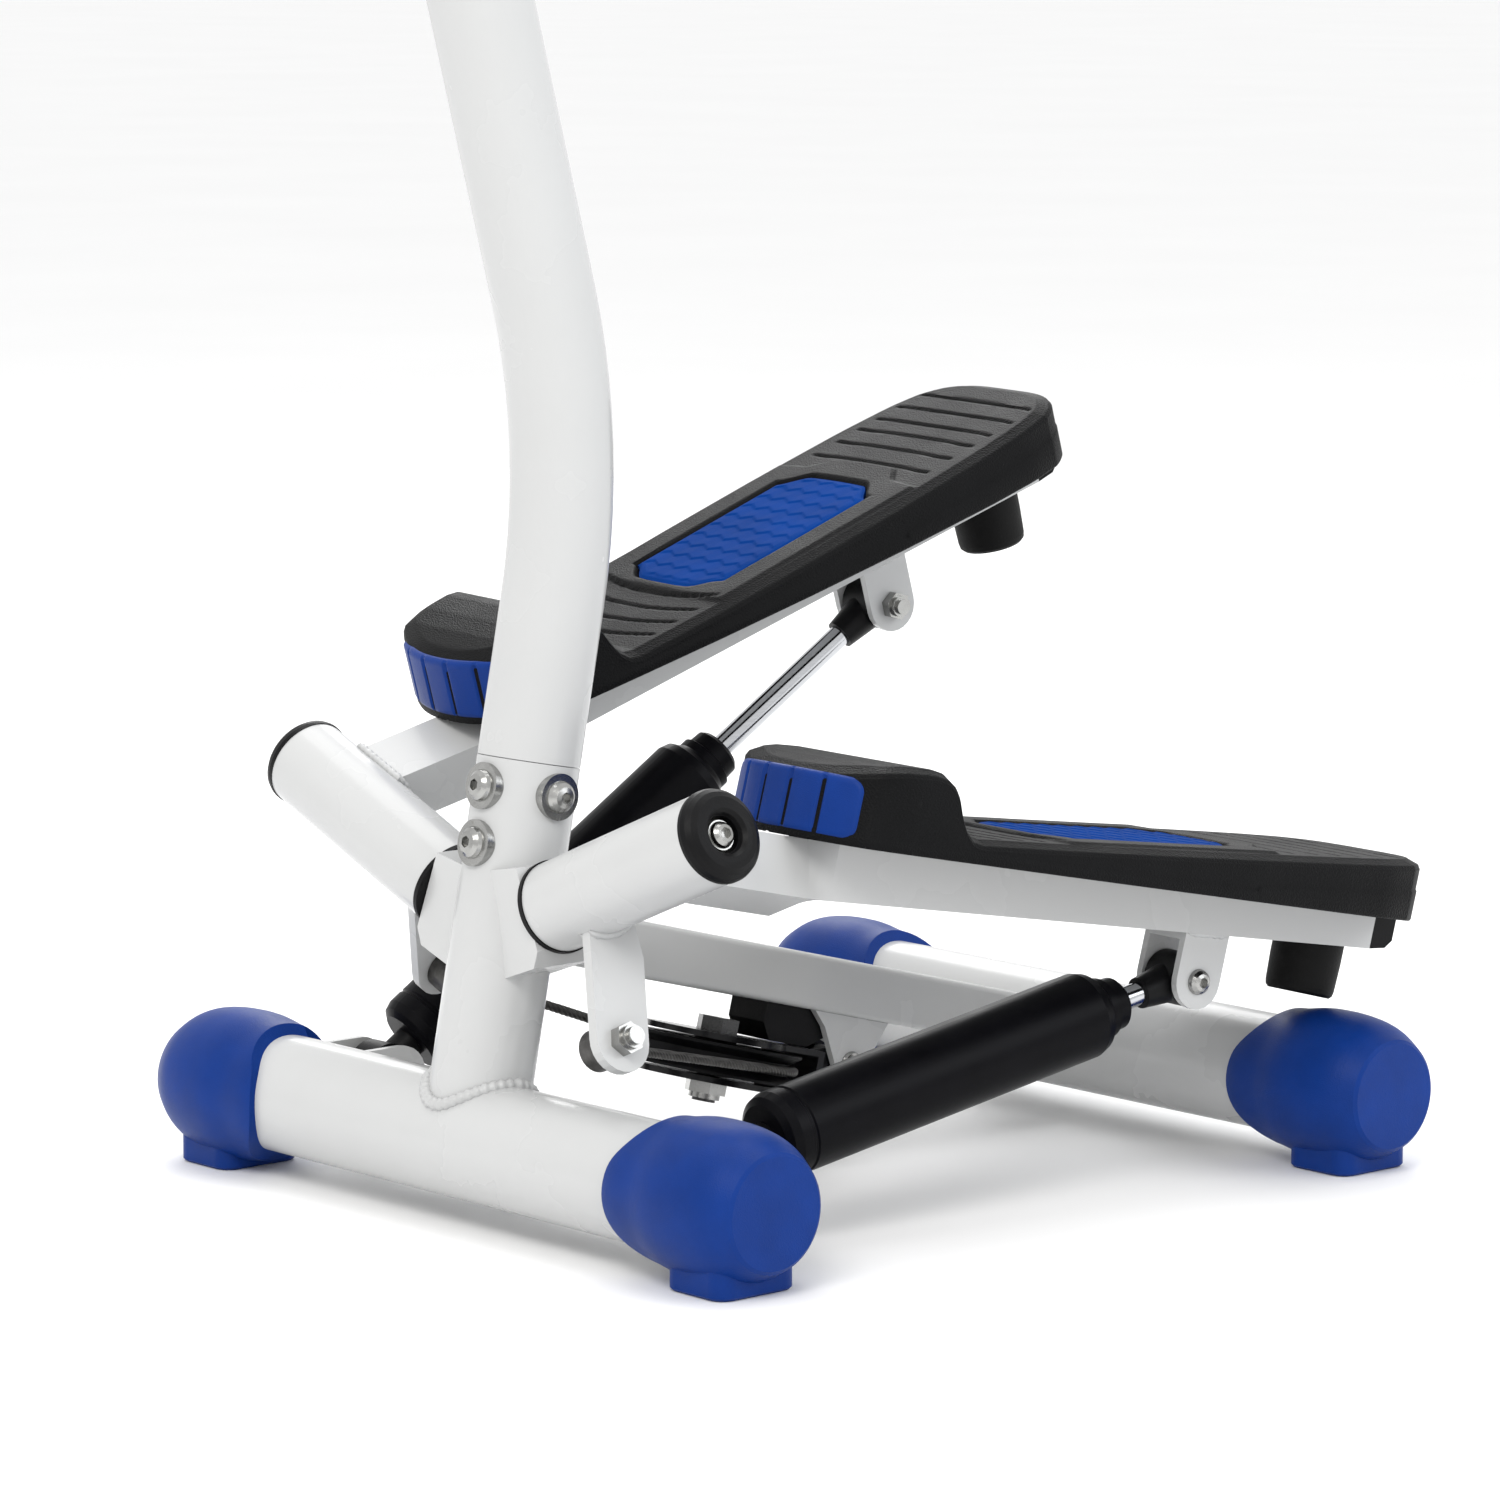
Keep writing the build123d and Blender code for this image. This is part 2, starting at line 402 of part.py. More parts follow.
# blue inserts: a pad let into the tread and a panel on the toe block
def pad_curve(u, front):
    k = min(max((abs(u) - 0.55) / 0.45, 0.0), 1.0)
    k = k * k * (3 - 2 * k)
    return 15.0 + 2 * u * u + 9.0 * k if front else 135.0 - 2 * u * u - 11.0 * k
pad_pts = [(PEDAL_XC + 40 * u, pad_curve(u, True)) for u in [-1 + 2 * k / 20 for k in range(21)]]
pad_pts += [(PEDAL_XC + 40 * u, pad_curve(u, False)) for u in [1 - 2 * k / 20 for k in range(21)]]
def pad_slab(d0, d1, grow=0.0):
    cx, cy = PEDAL_XC, 75
    pp = [(cx + (x - cx) * (1 + grow / 38), cy + (y - cy) * (1 + grow / 58)) for x, y in pad_pts]
    return prism_z(pp, 150, 350) & prism_x([(-50, zt(-50) + d0), (200, zt(200) + d0), (200, zt(200) + d1), (-50, zt(-50) + d1)], 20, 210)
left["tread_pad"] = pad_slab(-2.5, 1.8)
pedal = pedal - pad_slab(-2.5, 10.0)
def toe_ring(off0, off1, zlo, zhi):
    r = prism_z(outline(off0), zlo, zhi) - prism_z(outline(off1), zlo - 1, zhi + 1)
    return r & box3(PEDAL_XC - 52, PEDAL_XC + 52, -150, -95, zlo, zhi)
panel = toe_ring(1.5, 4.5, 215.5, 248.5)
panel = panel - prism_x([(-200, 100), (300, 100), (300, zb(300)), (-200, zb(-200))], PEDAL_XC - 130, PEDAL_XC + 130)
panel = panel.solids().sort_by(SortBy.VOLUME)[-1]
left["toe_panel"] = panel
pedal = pedal - toe_ring(-1.0, 4.5, 200.0, 248.5)
pedal = pedal.solids().sort_by(SortBy.VOLUME)[-1]
left["pedal"] = pedal

# cross plates welded on the arm carry the pedal on four moulded bosses
DECK_Z = lambda y: zt(y) - DECK_WALL
BOSS_H = 6.0
boss_at, supports = [], []
for yc in (-20.0, 196.0):
    half_x = 34.0 if yc > 0 else 20.0
    top = lambda y: DECK_Z(y) - (BOSS_H if yc > 0 else 0.0)
    y0, y1 = yc - 13, yc + 13
    if yc > 0:
        supports.append(prism_x([(y0, top(y0) - 4), (y1, top(y1) - 4), (y1, top(y1)), (y0, top(y0))], ARM_X - half_x, ARM_X + half_x))
        for dx in (-26.0, 26.0):
            boss_at.append((ARM_X + dx, yc))
    supports.append(prism_x([(y0, ARM_BOTTOM(y0) + ARM_H2), (y1, ARM_BOTTOM(y1) + ARM_H2), (y1, top(y1) - (2 if yc > 0 else 0)), (y0, top(y0) - (2 if yc > 0 else 0))], ARM_X - 16, ARM_X + 16))
for sp in supports:
    arm = arm + sp
arm = biggest(arm)
screws = []
for bx, by in boss_at:
    zc = DECK_Z(by)
    boss = cyl((bx, by, zc - 20), (bx, by, zc + 1), 7.0) - prism_x([(0, 100), (300, 100), (300, DECK_Z(300) - BOSS_H), (0, DECK_Z(0) - BOSS_H)], 20, 210)
    pedal = pedal + boss
    hole = cyl((bx, by, zc - 30), (bx, by, zc + 1.5), 2.6)
    pedal = pedal - hole
    arm = arm - cyl((bx, by, zc - 30), (bx, by, zc + 1.5), 2.9)
    under = zc - BOSS_H - 5.2
    screws.append(cyl((bx, by, under - 0.5), (bx, by, zc + 1.0), 2.5) + hexagon((bx, by, under - 4.5), (bx, by, under), 8.0))
pedal = biggest(pedal)
left["pedal"] = pedal
arm = biggest(arm)

# clevis, bumper, plug and lever
def round_end(yc, hc, r, a0, a1, n=12):
    return [(yc + r * math.cos(math.radians(a0 + (a1 - a0) * k / n)), hc + r * math.sin(math.radians(a0 + (a1 - a0) * k / n))) for k in range(n + 1)]
def plate_s(s0, s1, pts_yh, holes=()):
    """Plate square to the hinge axis between s0 and s1, with the outline pts (y, h)."""
    f = face_of([tuple(H(s0, a, b)) for a, b in pts_yh])
    p = extrude(f, amount=s1 - s0, dir=tuple(hd))
    for (y, h, r) in holes:
        p = p - cyl(tuple(H(s0 - 2, y, h)), tuple(H(s1 + 2, y, h)), r)
    return p
kx, ky, kz = CLEVIS_BOLT
g = CLEVIS_GAP / 2
cl_out = [(ky - CLEVIS_R, ARM_BOTTOM(ky - CLEVIS_R)), (ky - CLEVIS_R, kz)] + round_end(ky, kz, CLEVIS_R, 180, 360) + [(ky + CLEVIS_R, ARM_BOTTOM(ky + CLEVIS_R))]
clev = prism_x(cl_out, kx - g - CLEVIS_PLATE, kx - g) + prism_x(cl_out, kx + g, kx + g + CLEVIS_PLATE)
clev = clev + prism_x([(y, ARM_BOTTOM(y)) for y in (ky - CLEVIS_R, ky + CLEVIS_R)] + [(y, ARM_BOTTOM(y) - 4) for y in (ky + CLEVIS_R, ky - CLEVIS_R)], kx - g - CLEVIS_PLATE, kx + g + CLEVIS_PLATE)
clev = clev - cyl((kx - 40, ky, kz), (kx + 40, ky, kz), 4.1)
left["clevis"] = biggest(clev)
bx, by = BUMPER_C
bump = revolve_profile((bx, by, BUMPER_Z), (0, 0, 1), [(0, BUMPER_R - 2.5), (1.5, BUMPER_R - 1.0), (4, BUMPER_R - 0.5), (18, BUMPER_R), (34, BUMPER_R)])
bump = bump - prism_x([(150, ARM_BOTTOM(150)), (300, ARM_BOTTOM(300)), (300, 300), (150, 300)], 60, 170)
left["bumper"] = biggest(bump)
plug = prism_x([(ARM_END_Y, ARM_BOTTOM(ARM_END_Y)), (ARM_END_Y + 10, ARM_BOTTOM(ARM_END_Y + 10) + 1), (ARM_END_Y + 14, ARM_BOTTOM(ARM_END_Y + 14) + 5), (ARM_END_Y + 14, ARM_BOTTOM(ARM_END_Y + 14) + ARM_H2 - 5), (ARM_END_Y + 10, ARM_BOTTOM(ARM_END_Y + 10) + ARM_H2 - 1), (ARM_END_Y, ARM_BOTTOM(ARM_END_Y) + ARM_H2)], ARM_X - ARM_W2 / 2, ARM_X + ARM_W2 / 2)
plug_in = loft([arm_section(ARM_END_Y - 20, -ARM_WALL, -ARM_WALL), arm_section(ARM_END_Y + 1, -ARM_WALL, -ARM_WALL)], ruled=True)
left["arm_plug"] = biggest(plug + plug_in)
lev_out = [(-6, -12.0), (LEVER_END_Y - LEVER_R, LEVER_END_H)] + round_end(LEVER_END_Y, LEVER_END_H, LEVER_R, 180, 360)[1:] + [(LEVER_END_Y + LEVER_R - 2, -30.0), (21, -12.0)]
lev = plate_s(LEVER_S0, LEVER_S1, lev_out, [(LEVER_END_Y, LEVER_END_H, 4.6)]) - pt_solid
lev = lev.solids().sort_by(SortBy.VOLUME)[-1]
left["lever"] = lev

# clevis bolt, lever bolt, their nuts and the pedal screws
cbolt = bolt((kx + g + CLEVIS_PLATE, ky, kz), (-1, 0, 0), 4.0, CLEVIS_GAP + 2 * CLEVIS_PLATE + 10, 6.6, 4.4)
cnut = lock_nut((kx - g - CLEVIS_PLATE, ky, kz), (-1, 0, 0), 4.0, 13, 8)
lbolt = bolt(tuple(H(9.5, LEVER_END_Y, LEVER_END_H)), tuple(hd), 4.5, 33.0, 6.5, 4.4)
lnut = lock_nut(tuple(H(LEVER_S1, LEVER_END_Y, LEVER_END_H)), tuple(hd), 4.5, 14, 9)
left["fasteners"] = Compound(children=[biggest(q) for q in [cbolt, cnut, lbolt, lnut] + screws])

left["arm"] = arm

# ------------------------------------------------------------------ poses of the two sides
def pose_left(s):
    return s.rotate(hinge_axis, -REST_ANGLE)
def pose_right(s):
    return s.rotate(hinge_axis, REST_ANGLE).mirror(Plane.YZ)
def rot_pt(p, deg):
    a = math.radians(deg)
    q = p - hp
    r = q * math.cos(a) + hd.cross(q) * math.sin(a) + hd * (hd.dot(q) * (1 - math.cos(a)))
    return hp + r
def mir(p):
    return V(-p.X, p.Y, p.Z)

for k, s in left.items():
    put("left_" + k, pose_left(s))
    put("right_" + k, pose_right(s))

# ------------------------------------------------------------------ dampers
def damper(side):
    deg = -REST_ANGLE if side == "left" else REST_ANGLE
    K = rot_pt(V(*CLEVIS_BOLT), deg)
    bx = rot_pt(V(*CLEVIS_BOLT) + V(1, 0, 0), deg) - K      # clevis bolt direction in this pose
    E, ex = V(*CYL_FOOT), V(1, 0, 0)
    d = (K - E).normalized()
    L = (K - E).length
    at = lambda t: tuple(E + d * t)
    body = revolve_profile(at(0), tuple(d), [(CYL_BODY0, 17.0), (CYL_BODY0 + 2.5, 20.5), (CYL_BODY0 + 7, CYL_R), (CYL_BODY0 + 13.5, CYL_R), (CYL_BODY0 + 14.2, CYL_R - 0.8), (CYL_BODY0 + 15.6, CYL_R - 0.8), (CYL_BODY0 + 16.3, CYL_R),
                                             (CYL_BODY1 - 8, CYL_R), (CYL_BODY1 - 3, CYL_R - 1.6), (CYL_BODY1, CYL_R - 5.5), (CYL_BODY1 + 1.5, 15.5), (CYL_BODY1 + 6, 15.5), (CYL_BODY1 + 7, 13.8), (CYL_NECK1 - 2, 13.4), (CYL_NECK1, 11.5)])
    chamber = cyl(at(CYL_BODY0 + 8), at(CYL_BODY1 - 12), 17.0)
    body = body - chamber - cyl(at(CYL_BODY1 - 14), at(CYL_NECK1 + 4), ROD_R + AXLE_RUN)
    rod = cyl(at(L - ROD_FROM_EYE), at(L - 20.0), ROD_R) + cyl(at(L - ROD_FROM_EYE - 3), at(L - ROD_FROM_EYE + 9), 16.9)
    eye = cyl(tuple(E - ex * 8), tuple(E + ex * 8), 14.8) + cyl(at(4), at(CYL_BODY0), 8.5)
    eye = eye - cyl(tuple(E - ex * 14), tuple(E + ex * 14), FOOT_EYE_BORE)
    reye = cyl(tuple(K - bx * 10.5), tuple(K + bx * 10.5), 13.5) + cone(at(L - 27), at(L - 6), 8.0, 10.5)
    reye = reye - cyl(tuple(K - bx * 20), tuple(K + bx * 20), 4.0 + AXLE_RUN) - cyl(at(L - 40), at(L - 20), ROD_R)
    print(side, "K", [round(v, 3) for v in K], "bolt dir", [round(v, 5) for v in bx], "rod dir", [round(v, 5) for v in d], "L", round(L, 2))
    return body, rod, eye, reye
for side in ("left", "right"):
    body, rod, eye, reye = damper(side)
    f = (lambda s: s) if side == "left" else (lambda s: s.mirror(Plane.YZ))
    put(side + "_cylinder", f(body))
    put(side + "_cylinder_eye", f(eye))
    put(side + "_rod", f(rod))
    put(side + "_rod_eye", f(reye))

# brackets on the front tube for the dampers' lower eyes
E = V(*CYL_FOOT)
fi, fo = FOOT_PLATE_IN, FOOT_PLATE_IN + FOOT_PLATE_T
ear = [(FY + 20, E.Z - 15), (E.Y, E.Z - 15)] + round_end(E.Y, E.Z, 15, 270, 450) + [(FY + 20, E.Z + 15)]
brk = prism_x(ear, E.X - fo, E.X - fi) + prism_x(ear, E.X + fi, E.X + fo)
brk = brk - front_outer - cyl((E.X - 40, E.Y, E.Z), (E.X + 40, E.Y, E.Z), FOOT_PIN_R + 0.1)
ears = [q for q in brk.solids() if q.volume > 500]
put("damper_brackets", Compound(children=ears + [q.mirror(Plane.YZ) for q in ears]))
pin = biggest(bolt((E.X + fo, E.Y, E.Z), (-1, 0, 0), FOOT_PIN_R, 2 * fo + 10, 6.6, 4.4))
dn = biggest(lock_nut((E.X - fo, E.Y, E.Z), (-1, 0, 0), FOOT_PIN_R, 13, 8))
pn = biggest(lock_nut(tuple(rail_pt(0, -12.5)), tuple(rail_n * -1.0), 6.0, 19, 9))
put("frame_bolts", Compound(children=[biggest(b) for b in mast_bolts] + [pin, pin.mirror(Plane.YZ), biggest(tail_bolt)]))
put("frame_nuts", Compound(children=[dn, dn.mirror(Plane.YZ), pn, biggest(tail_nut)]))

# ------------------------------------------------------------------ wire rope between the two levers
ROPE_S = 18.0
def lever_end(side):
    p = rot_pt(H(ROPE_S, LEVER_END_Y, LEVER_END_H), -REST_ANGLE if side == "left" else REST_ANGLE)
    return p if side == "left" else mir(p)
PL, PR = lever_end("left"), lever_end("right")
def tangent_point(P, sign):
    """Where the rope from P meets the groove circle, and the direction of its arrival."""
    q = P - V(*PULLEY_C)
    x, v = q.X * sign, q.dot(rail_v)
    d = math.hypot(x, v)
    beta = math.acos(ROPE_WRAP_R / d)
    phi = math.atan2(v, x) + beta
    return rail_pt(ROPE_WRAP_R * math.sin(phi), 0, sign * ROPE_WRAP_R * math.cos(phi)), phi
TL, phl = tangent_point(PL, 1)
TR, phr = tangent_point(PR, -1)
dl, dr = (TL - PL).normalized(), (TR - PR).normalized()
FIT_LEN = 26.0
pp = Plane(origin=rail_pt(0, 0), x_dir=V(1, 0, 0), z_dir=rail_n)
# in this plane y runs forward, so the wrap is laid out with its sign turned
sgn_v = 1.0 if pp.y_dir.dot(rail_v) > 0 else -1.0
a0 = math.degrees(phl)
a1 = 180.0 - math.degrees(phr)
wrap_edge = Edge.make_three_point_arc(TL, rail_pt(ROPE_WRAP_R, 0), TR)
wrap_tan = wrap_edge.tangent_at(0)
wrap = sweep(Plane(origin=TL, z_dir=wrap_tan) * Circle(ROPE_R), path=Wire([wrap_edge]))
put("rope_wrap", wrap)
put("left_rope_run", biggest(cyl(tuple(PL + dl * FIT_LEN), tuple(TL - dl * 0.3), ROPE_R) - wrap))
put("right_rope_run", biggest(cyl(tuple(PR + dr * FIT_LEN), tuple(TR - dr * 0.6), ROPE_R) - wrap))
print("rope", round(wrap_edge.length + (TL - PL).length + (TR - PR).length, 1), "tangency error deg", round(math.degrees(math.acos(min(1, abs(dl.dot(wrap_tan))))), 2), "wrap angles", round(a0, 1), round(a1, 1))
for side, P0, dd in (("left", PL, dl), ("right", PR, dr)):
    ring_d = hd if side == "left" else V(-hd.X, 0, hd.Z)
    ring = cyl(tuple(P0 - ring_d * 8.5), tuple(P0 + ring_d * 6.5), 10.5)
    ferr = cyl(tuple(P0), tuple(P0 + dd * FIT_LEN), 4.6)
    fit = (ring + ferr) - cyl(tuple(P0 - ring_d * 20), tuple(P0 + ring_d * 20), 4.6)
    put(side + "_rope_end", fit)

# ------------------------------------------------------------------ handlebar
BAR_R = 14.0
hb_c = mt + mast_up * (-BAR_R - 1.0)
def bar_pts():
    y, z = mt.Y, mt.Z + 8.0
    return [(-205, y + 148, z - 26), (-205, y + 22, z + 6), (-150, y - 6, z), (150, y - 6, z), (205, y + 22, z + 6), (205, y + 148, z - 26)]
bp = [(-198, mt.Y + 150, mt.Z - 24), (-198, mt.Y + 5, mt.Z + 12), (198, mt.Y + 5, mt.Z + 12), (198, mt.Y + 150, mt.Z - 24)]
bar_path = FilletPolyline(*bp, radius=[60, 60])
b0 = V(*bp[0])
bdir = (V(*bp[1]) - b0).normalized()
bar = sweep(Plane(origin=b0, z_dir=bdir) * Circle(BAR_R) - Plane(origin=b0, z_dir=bdir) * Circle(BAR_R - 2), path=bar_path)
bar_solid = sweep(Plane(origin=b0, z_dir=bdir) * Circle(BAR_R), path=bar_path)
mast = mast - bar_solid
mast = mast.solids().sort_by(SortBy.VOLUME)[-1]
grips = []
for sgn in (-1, 1):
    g0 = V(sgn * 198, mt.Y + 150, mt.Z - 24)
    gd = (V(sgn * 198, mt.Y + 5, mt.Z + 12) - g0).normalized()
    outer = revolve_profile(tuple(g0 - gd * 6), tuple(gd), [(0, 13), (3, 17.0), (7, 18.5), (88, 18.5), (92, 17.0), (94, 14.6)])
    inner = cyl(tuple(g0), tuple(g0 + gd * 110), BAR_R)
    grips.append((outer - inner).solids().sort_by(SortBy.VOLUME)[-1])
put("handlebar", bar)
put("handlebar_grips", Compound(children=grips))
put("column", column)
put("mast", mast)

# ------------------------------------------------------------------ export
names = sorted(nodes)
lo, hi = [1e9] * 3, [-1e9] * 3
for n in names:
    s = nodes[n].moved(Location((0, ORIGIN_SHIFT_Y, 0)))
    sol = s.solids()
    out = sol[0] if len(sol) == 1 else Compound(children=list(sol))
    bb = out.bounding_box()
    for i, (a, b) in enumerate(((bb.min.X, bb.max.X), (bb.min.Y, bb.max.Y), (bb.min.Z, bb.max.Z))):
        lo[i], hi[i] = min(lo[i], a), max(hi[i], b)
    export_step(out, "parts/" + n + ".step")
print("nodes", len(names), "box", [round(v, 2) for v in lo], [round(v, 2) for v in hi], "centre y", round((lo[1] + hi[1]) / 2, 3), "centre x", round((lo[0] + hi[0]) / 2, 3))
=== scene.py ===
import bpy, math, json
import numpy as np
from mathutils import Vector, Matrix

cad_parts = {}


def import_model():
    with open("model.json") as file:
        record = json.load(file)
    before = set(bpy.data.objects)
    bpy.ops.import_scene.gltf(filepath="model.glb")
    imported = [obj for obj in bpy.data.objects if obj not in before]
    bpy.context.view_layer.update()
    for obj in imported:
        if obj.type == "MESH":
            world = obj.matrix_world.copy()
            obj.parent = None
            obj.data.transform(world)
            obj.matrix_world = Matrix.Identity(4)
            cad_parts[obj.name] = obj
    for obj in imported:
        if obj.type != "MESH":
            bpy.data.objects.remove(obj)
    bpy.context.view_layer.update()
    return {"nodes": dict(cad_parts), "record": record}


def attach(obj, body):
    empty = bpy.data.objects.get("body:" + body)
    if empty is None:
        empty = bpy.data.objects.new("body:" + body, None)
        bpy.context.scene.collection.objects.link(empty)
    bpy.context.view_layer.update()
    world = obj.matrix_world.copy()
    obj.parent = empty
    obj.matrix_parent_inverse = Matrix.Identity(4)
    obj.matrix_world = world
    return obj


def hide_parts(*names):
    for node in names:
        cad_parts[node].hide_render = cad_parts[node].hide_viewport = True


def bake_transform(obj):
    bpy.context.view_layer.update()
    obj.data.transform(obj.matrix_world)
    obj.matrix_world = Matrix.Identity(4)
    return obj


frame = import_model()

SH = 53.42                      # drawing frame to row frame along Y, in mm
REST = math.radians(16.264)
HP = np.array([41.9, -186.9, 159.0])
HT = math.radians(22.36)
HD = np.array([math.cos(HT), 0.0, math.sin(HT)])
HE = np.array([-math.sin(HT), 0.0, math.cos(HT)])
ARM_X = 114.0
rng = np.random.default_rng(7)


def arm_bottom(y):
    return 187.4 + 0.0945 * (y + 102.0)


def rot(p, a):
    q = np.asarray(p, float) - HP
    return q * math.cos(a) + np.cross(HD, q) * math.sin(a) + np.outer(q @ HD, HD) * (1 - math.cos(a)) + HP


def place(p, side):
    """Level-position points in mm (drawing frame, left side) to metres in the row frame at rest."""
    p = np.atleast_2d(np.asarray(p, float))
    p = rot(p, -REST if side == "left" else REST)
    if side == "right":
        p = p * np.array([-1.0, 1.0, 1.0])
    return (p + np.array([0, SH, 0])) / 1000.0


def world(p):
    return (np.atleast_2d(np.asarray(p, float)) + np.array([0, SH, 0])) / 1000.0


def hinge(s, y, h):
    return HP + HD * s + np.array([0, y, 0]) + HE * h


# ------------------------------------------------------------------ materials
def mat(name, base, rough=0.4, metal=0.0, coat=0.0, coat_rough=0.1, scale=60.0, var=0.05, bump=0.0, bump_scale=900.0,
        bump_kind="noise", rough_var=0.08, spec=0.5, dirt=None, streak=None):
    m = bpy.data.materials.new(name)
    m.use_nodes = True
    nt = m.node_tree
    b = nt.nodes["Principled BSDF"]
    b.inputs["Metallic"].default_value = metal
    b.inputs["Specular IOR Level"].default_value = spec
    b.inputs["Coat Weight"].default_value = coat
    b.inputs["Coat Roughness"].default_value = coat_rough
    tc = nt.nodes.new("ShaderNodeTexCoord")
    src = tc.outputs["Object"]
    if streak:
        mp = nt.nodes.new("ShaderNodeMapping")
        mp.inputs["Scale"].default_value = streak
        nt.links.new(src, mp.inputs["Vector"])
        src = mp.outputs["Vector"]
    n = nt.nodes.new("ShaderNodeTexNoise")
    n.inputs["Scale"].default_value = scale
    n.inputs["Detail"].default_value = 4.0
    nt.links.new(src, n.inputs["Vector"])
    r = nt.nodes.new("ShaderNodeValToRGB")
    c = np.array(base)
    r.color_ramp.elements[0].position = 0.3
    r.color_ramp.elements[1].position = 0.7
    r.color_ramp.elements[0].color = (*np.clip(c * (1 - var), 0, 1), 1)
    r.color_ramp.elements[1].color = (*np.clip(c * (1 + var), 0, 1), 1)
    nt.links.new(n.outputs["Fac"], r.inputs["Fac"])
    out = r.outputs["Color"]
    if dirt is not None:
        n3 = nt.nodes.new("ShaderNodeTexNoise")
        n3.inputs["Scale"].default_value = dirt[1]
        n3.inputs["Detail"].default_value = 8.0
        n3.inputs["Roughness"].default_value = 0.7
        nt.links.new(tc.outputs["Object"], n3.inputs["Vector"])
        r3 = nt.nodes.new("ShaderNodeValToRGB")
        r3.color_ramp.elements[0].position = dirt[2]
        r3.color_ramp.elements[1].position = min(dirt[2] + 0.16, 1.0)
        r3.color_ramp.elements[0].color = (0, 0, 0, 1)
        r3.color_ramp.elements[1].color = (dirt[3], dirt[3], dirt[3], 1)
        nt.links.new(n3.outputs["Fac"], r3.inputs["Fac"])
        mx = nt.nodes.new("ShaderNodeMix")
        mx.data_type = "RGBA"
        mx.inputs[7].default_value = (*dirt[0], 1)
        nt.links.new(r3.outputs["Color"], mx.inputs[0])
        nt.links.new(out, mx.inputs[6])
        out = mx.outputs[2]
    nt.links.new(out, b.inputs["Base Color"])
    mr = nt.nodes.new("ShaderNodeMapRange")
    mr.inputs["To Min"].default_value = max(rough - rough_var, 0.02)
    mr.inputs["To Max"].default_value = min(rough + rough_var, 1.0)
    nt.links.new(n.outputs["Fac"], mr.inputs["Value"])
    nt.links.new(mr.outputs["Result"], b.inputs["Roughness"])
    if bump > 0:
        if bump_kind == "noise":
            t = nt.nodes.new("ShaderNodeTexNoise")
            t.inputs["Detail"].default_value = 3.0
            o = t.outputs["Fac"]
        else:
            t = nt.nodes.new("ShaderNodeTexVoronoi")
            o = t.outputs["Distance"]
        t.inputs["Scale"].default_value = bump_scale
        nt.links.new(src, t.inputs["Vector"])
        bp = nt.nodes.new("ShaderNodeBump")
        bp.inputs["Strength"].default_value = bump
        bp.inputs["Distance"].default_value = 0.0004
        nt.links.new(o, bp.inputs["Height"])
        nt.links.new(bp.outputs["Normal"], b.inputs["Normal"])
    return m


M = {
    "white_paint": mat("white_paint", (0.50, 0.505, 0.505), rough=0.26, coat=0.15, scale=14, var=0.015, bump=0.06, bump_scale=380, spec=0.3),
    "blue_plastic": mat("blue_plastic", (0.0024, 0.028, 0.180), rough=0.42, scale=40, var=0.10, bump=0.22, bump_scale=1500, bump_kind="voronoi", spec=0.12, dirt=((0.02, 0.06, 0.22), 70, 0.66, 0.22)),
    "blue_pad": mat("blue_pad", (0.0020, 0.034, 0.190), rough=0.70, scale=30, var=0.12, bump=0.30, bump_scale=1500, spec=0.02, dirt=((0.02, 0.07, 0.23), 60, 0.62, 0.25)),
    "black_grain": mat("black_grain", (0.0035, 0.0036, 0.0040), rough=0.50, scale=35, var=0.22, bump=0.75, bump_scale=1050, bump_kind="voronoi", spec=0.08, dirt=((0.020, 0.020, 0.020), 80, 0.64, 0.30)),
    "black_plastic": mat("black_plastic", (0.003, 0.003, 0.0035), rough=0.42, scale=60, var=0.2, bump=0.25, bump_scale=900, spec=0.14, dirt=((0.02, 0.02, 0.02), 90, 0.64, 0.3)),
    "black_paint": mat("black_paint", (0.004, 0.004, 0.005), rough=0.24, coat=0.05, scale=50, var=0.2, bump=0.10, bump_scale=500, spec=0.20, dirt=((0.04, 0.04, 0.04), 60, 0.66, 0.3)),
    "cyl_paint": mat("cyl_paint", (0.003, 0.003, 0.004), rough=0.36, coat=0.0, scale=50, var=0.2, bump=0.08, bump_scale=420, spec=0.06, dirt=((0.015, 0.015, 0.015), 70, 0.68, 0.3)),
    "zinc": mat("zinc", (0.36, 0.36, 0.35), rough=0.24, metal=1.0, scale=120, var=0.10, bump=0.15, bump_scale=800, dirt=((0.16, 0.15, 0.13), 150, 0.60, 0.5)),
    "dark_steel": mat("dark_steel", (0.07, 0.07, 0.07), rough=0.28, metal=1.0, scale=120, var=0.15, bump=0.15, bump_scale=800),
    "chrome": mat("chrome", (0.50, 0.51, 0.53), rough=0.12, metal=1.0, scale=150, var=0.04, rough_var=0.04, bump=0.05, bump_scale=600, streak=(1, 1, 8)),
    "wire": mat("wire", (0.08, 0.078, 0.075), rough=0.38, metal=0.9, scale=300, var=0.25, bump=0.2, bump_scale=1200),
    "rubber": mat("rubber", (0.003, 0.003, 0.003), rough=0.62, scale=60, var=0.2, bump=0.35, bump_scale=700, spec=0.15, dirt=((0.02, 0.02, 0.02), 90, 0.6, 0.3)),
    "foam": mat("foam", (0.008, 0.008, 0.009), rough=0.86, scale=80, var=0.25, bump=0.9, bump_scale=1300, bump_kind="voronoi", spec=0.15),
    "weld": mat("weld", (0.47, 0.475, 0.475), rough=0.32, coat=0.15, scale=60, var=0.05, bump=0.3, bump_scale=500, spec=0.3),
    "gasket": mat("gasket", (0.02, 0.02, 0.022), rough=0.5, scale=90, var=0.2),
}

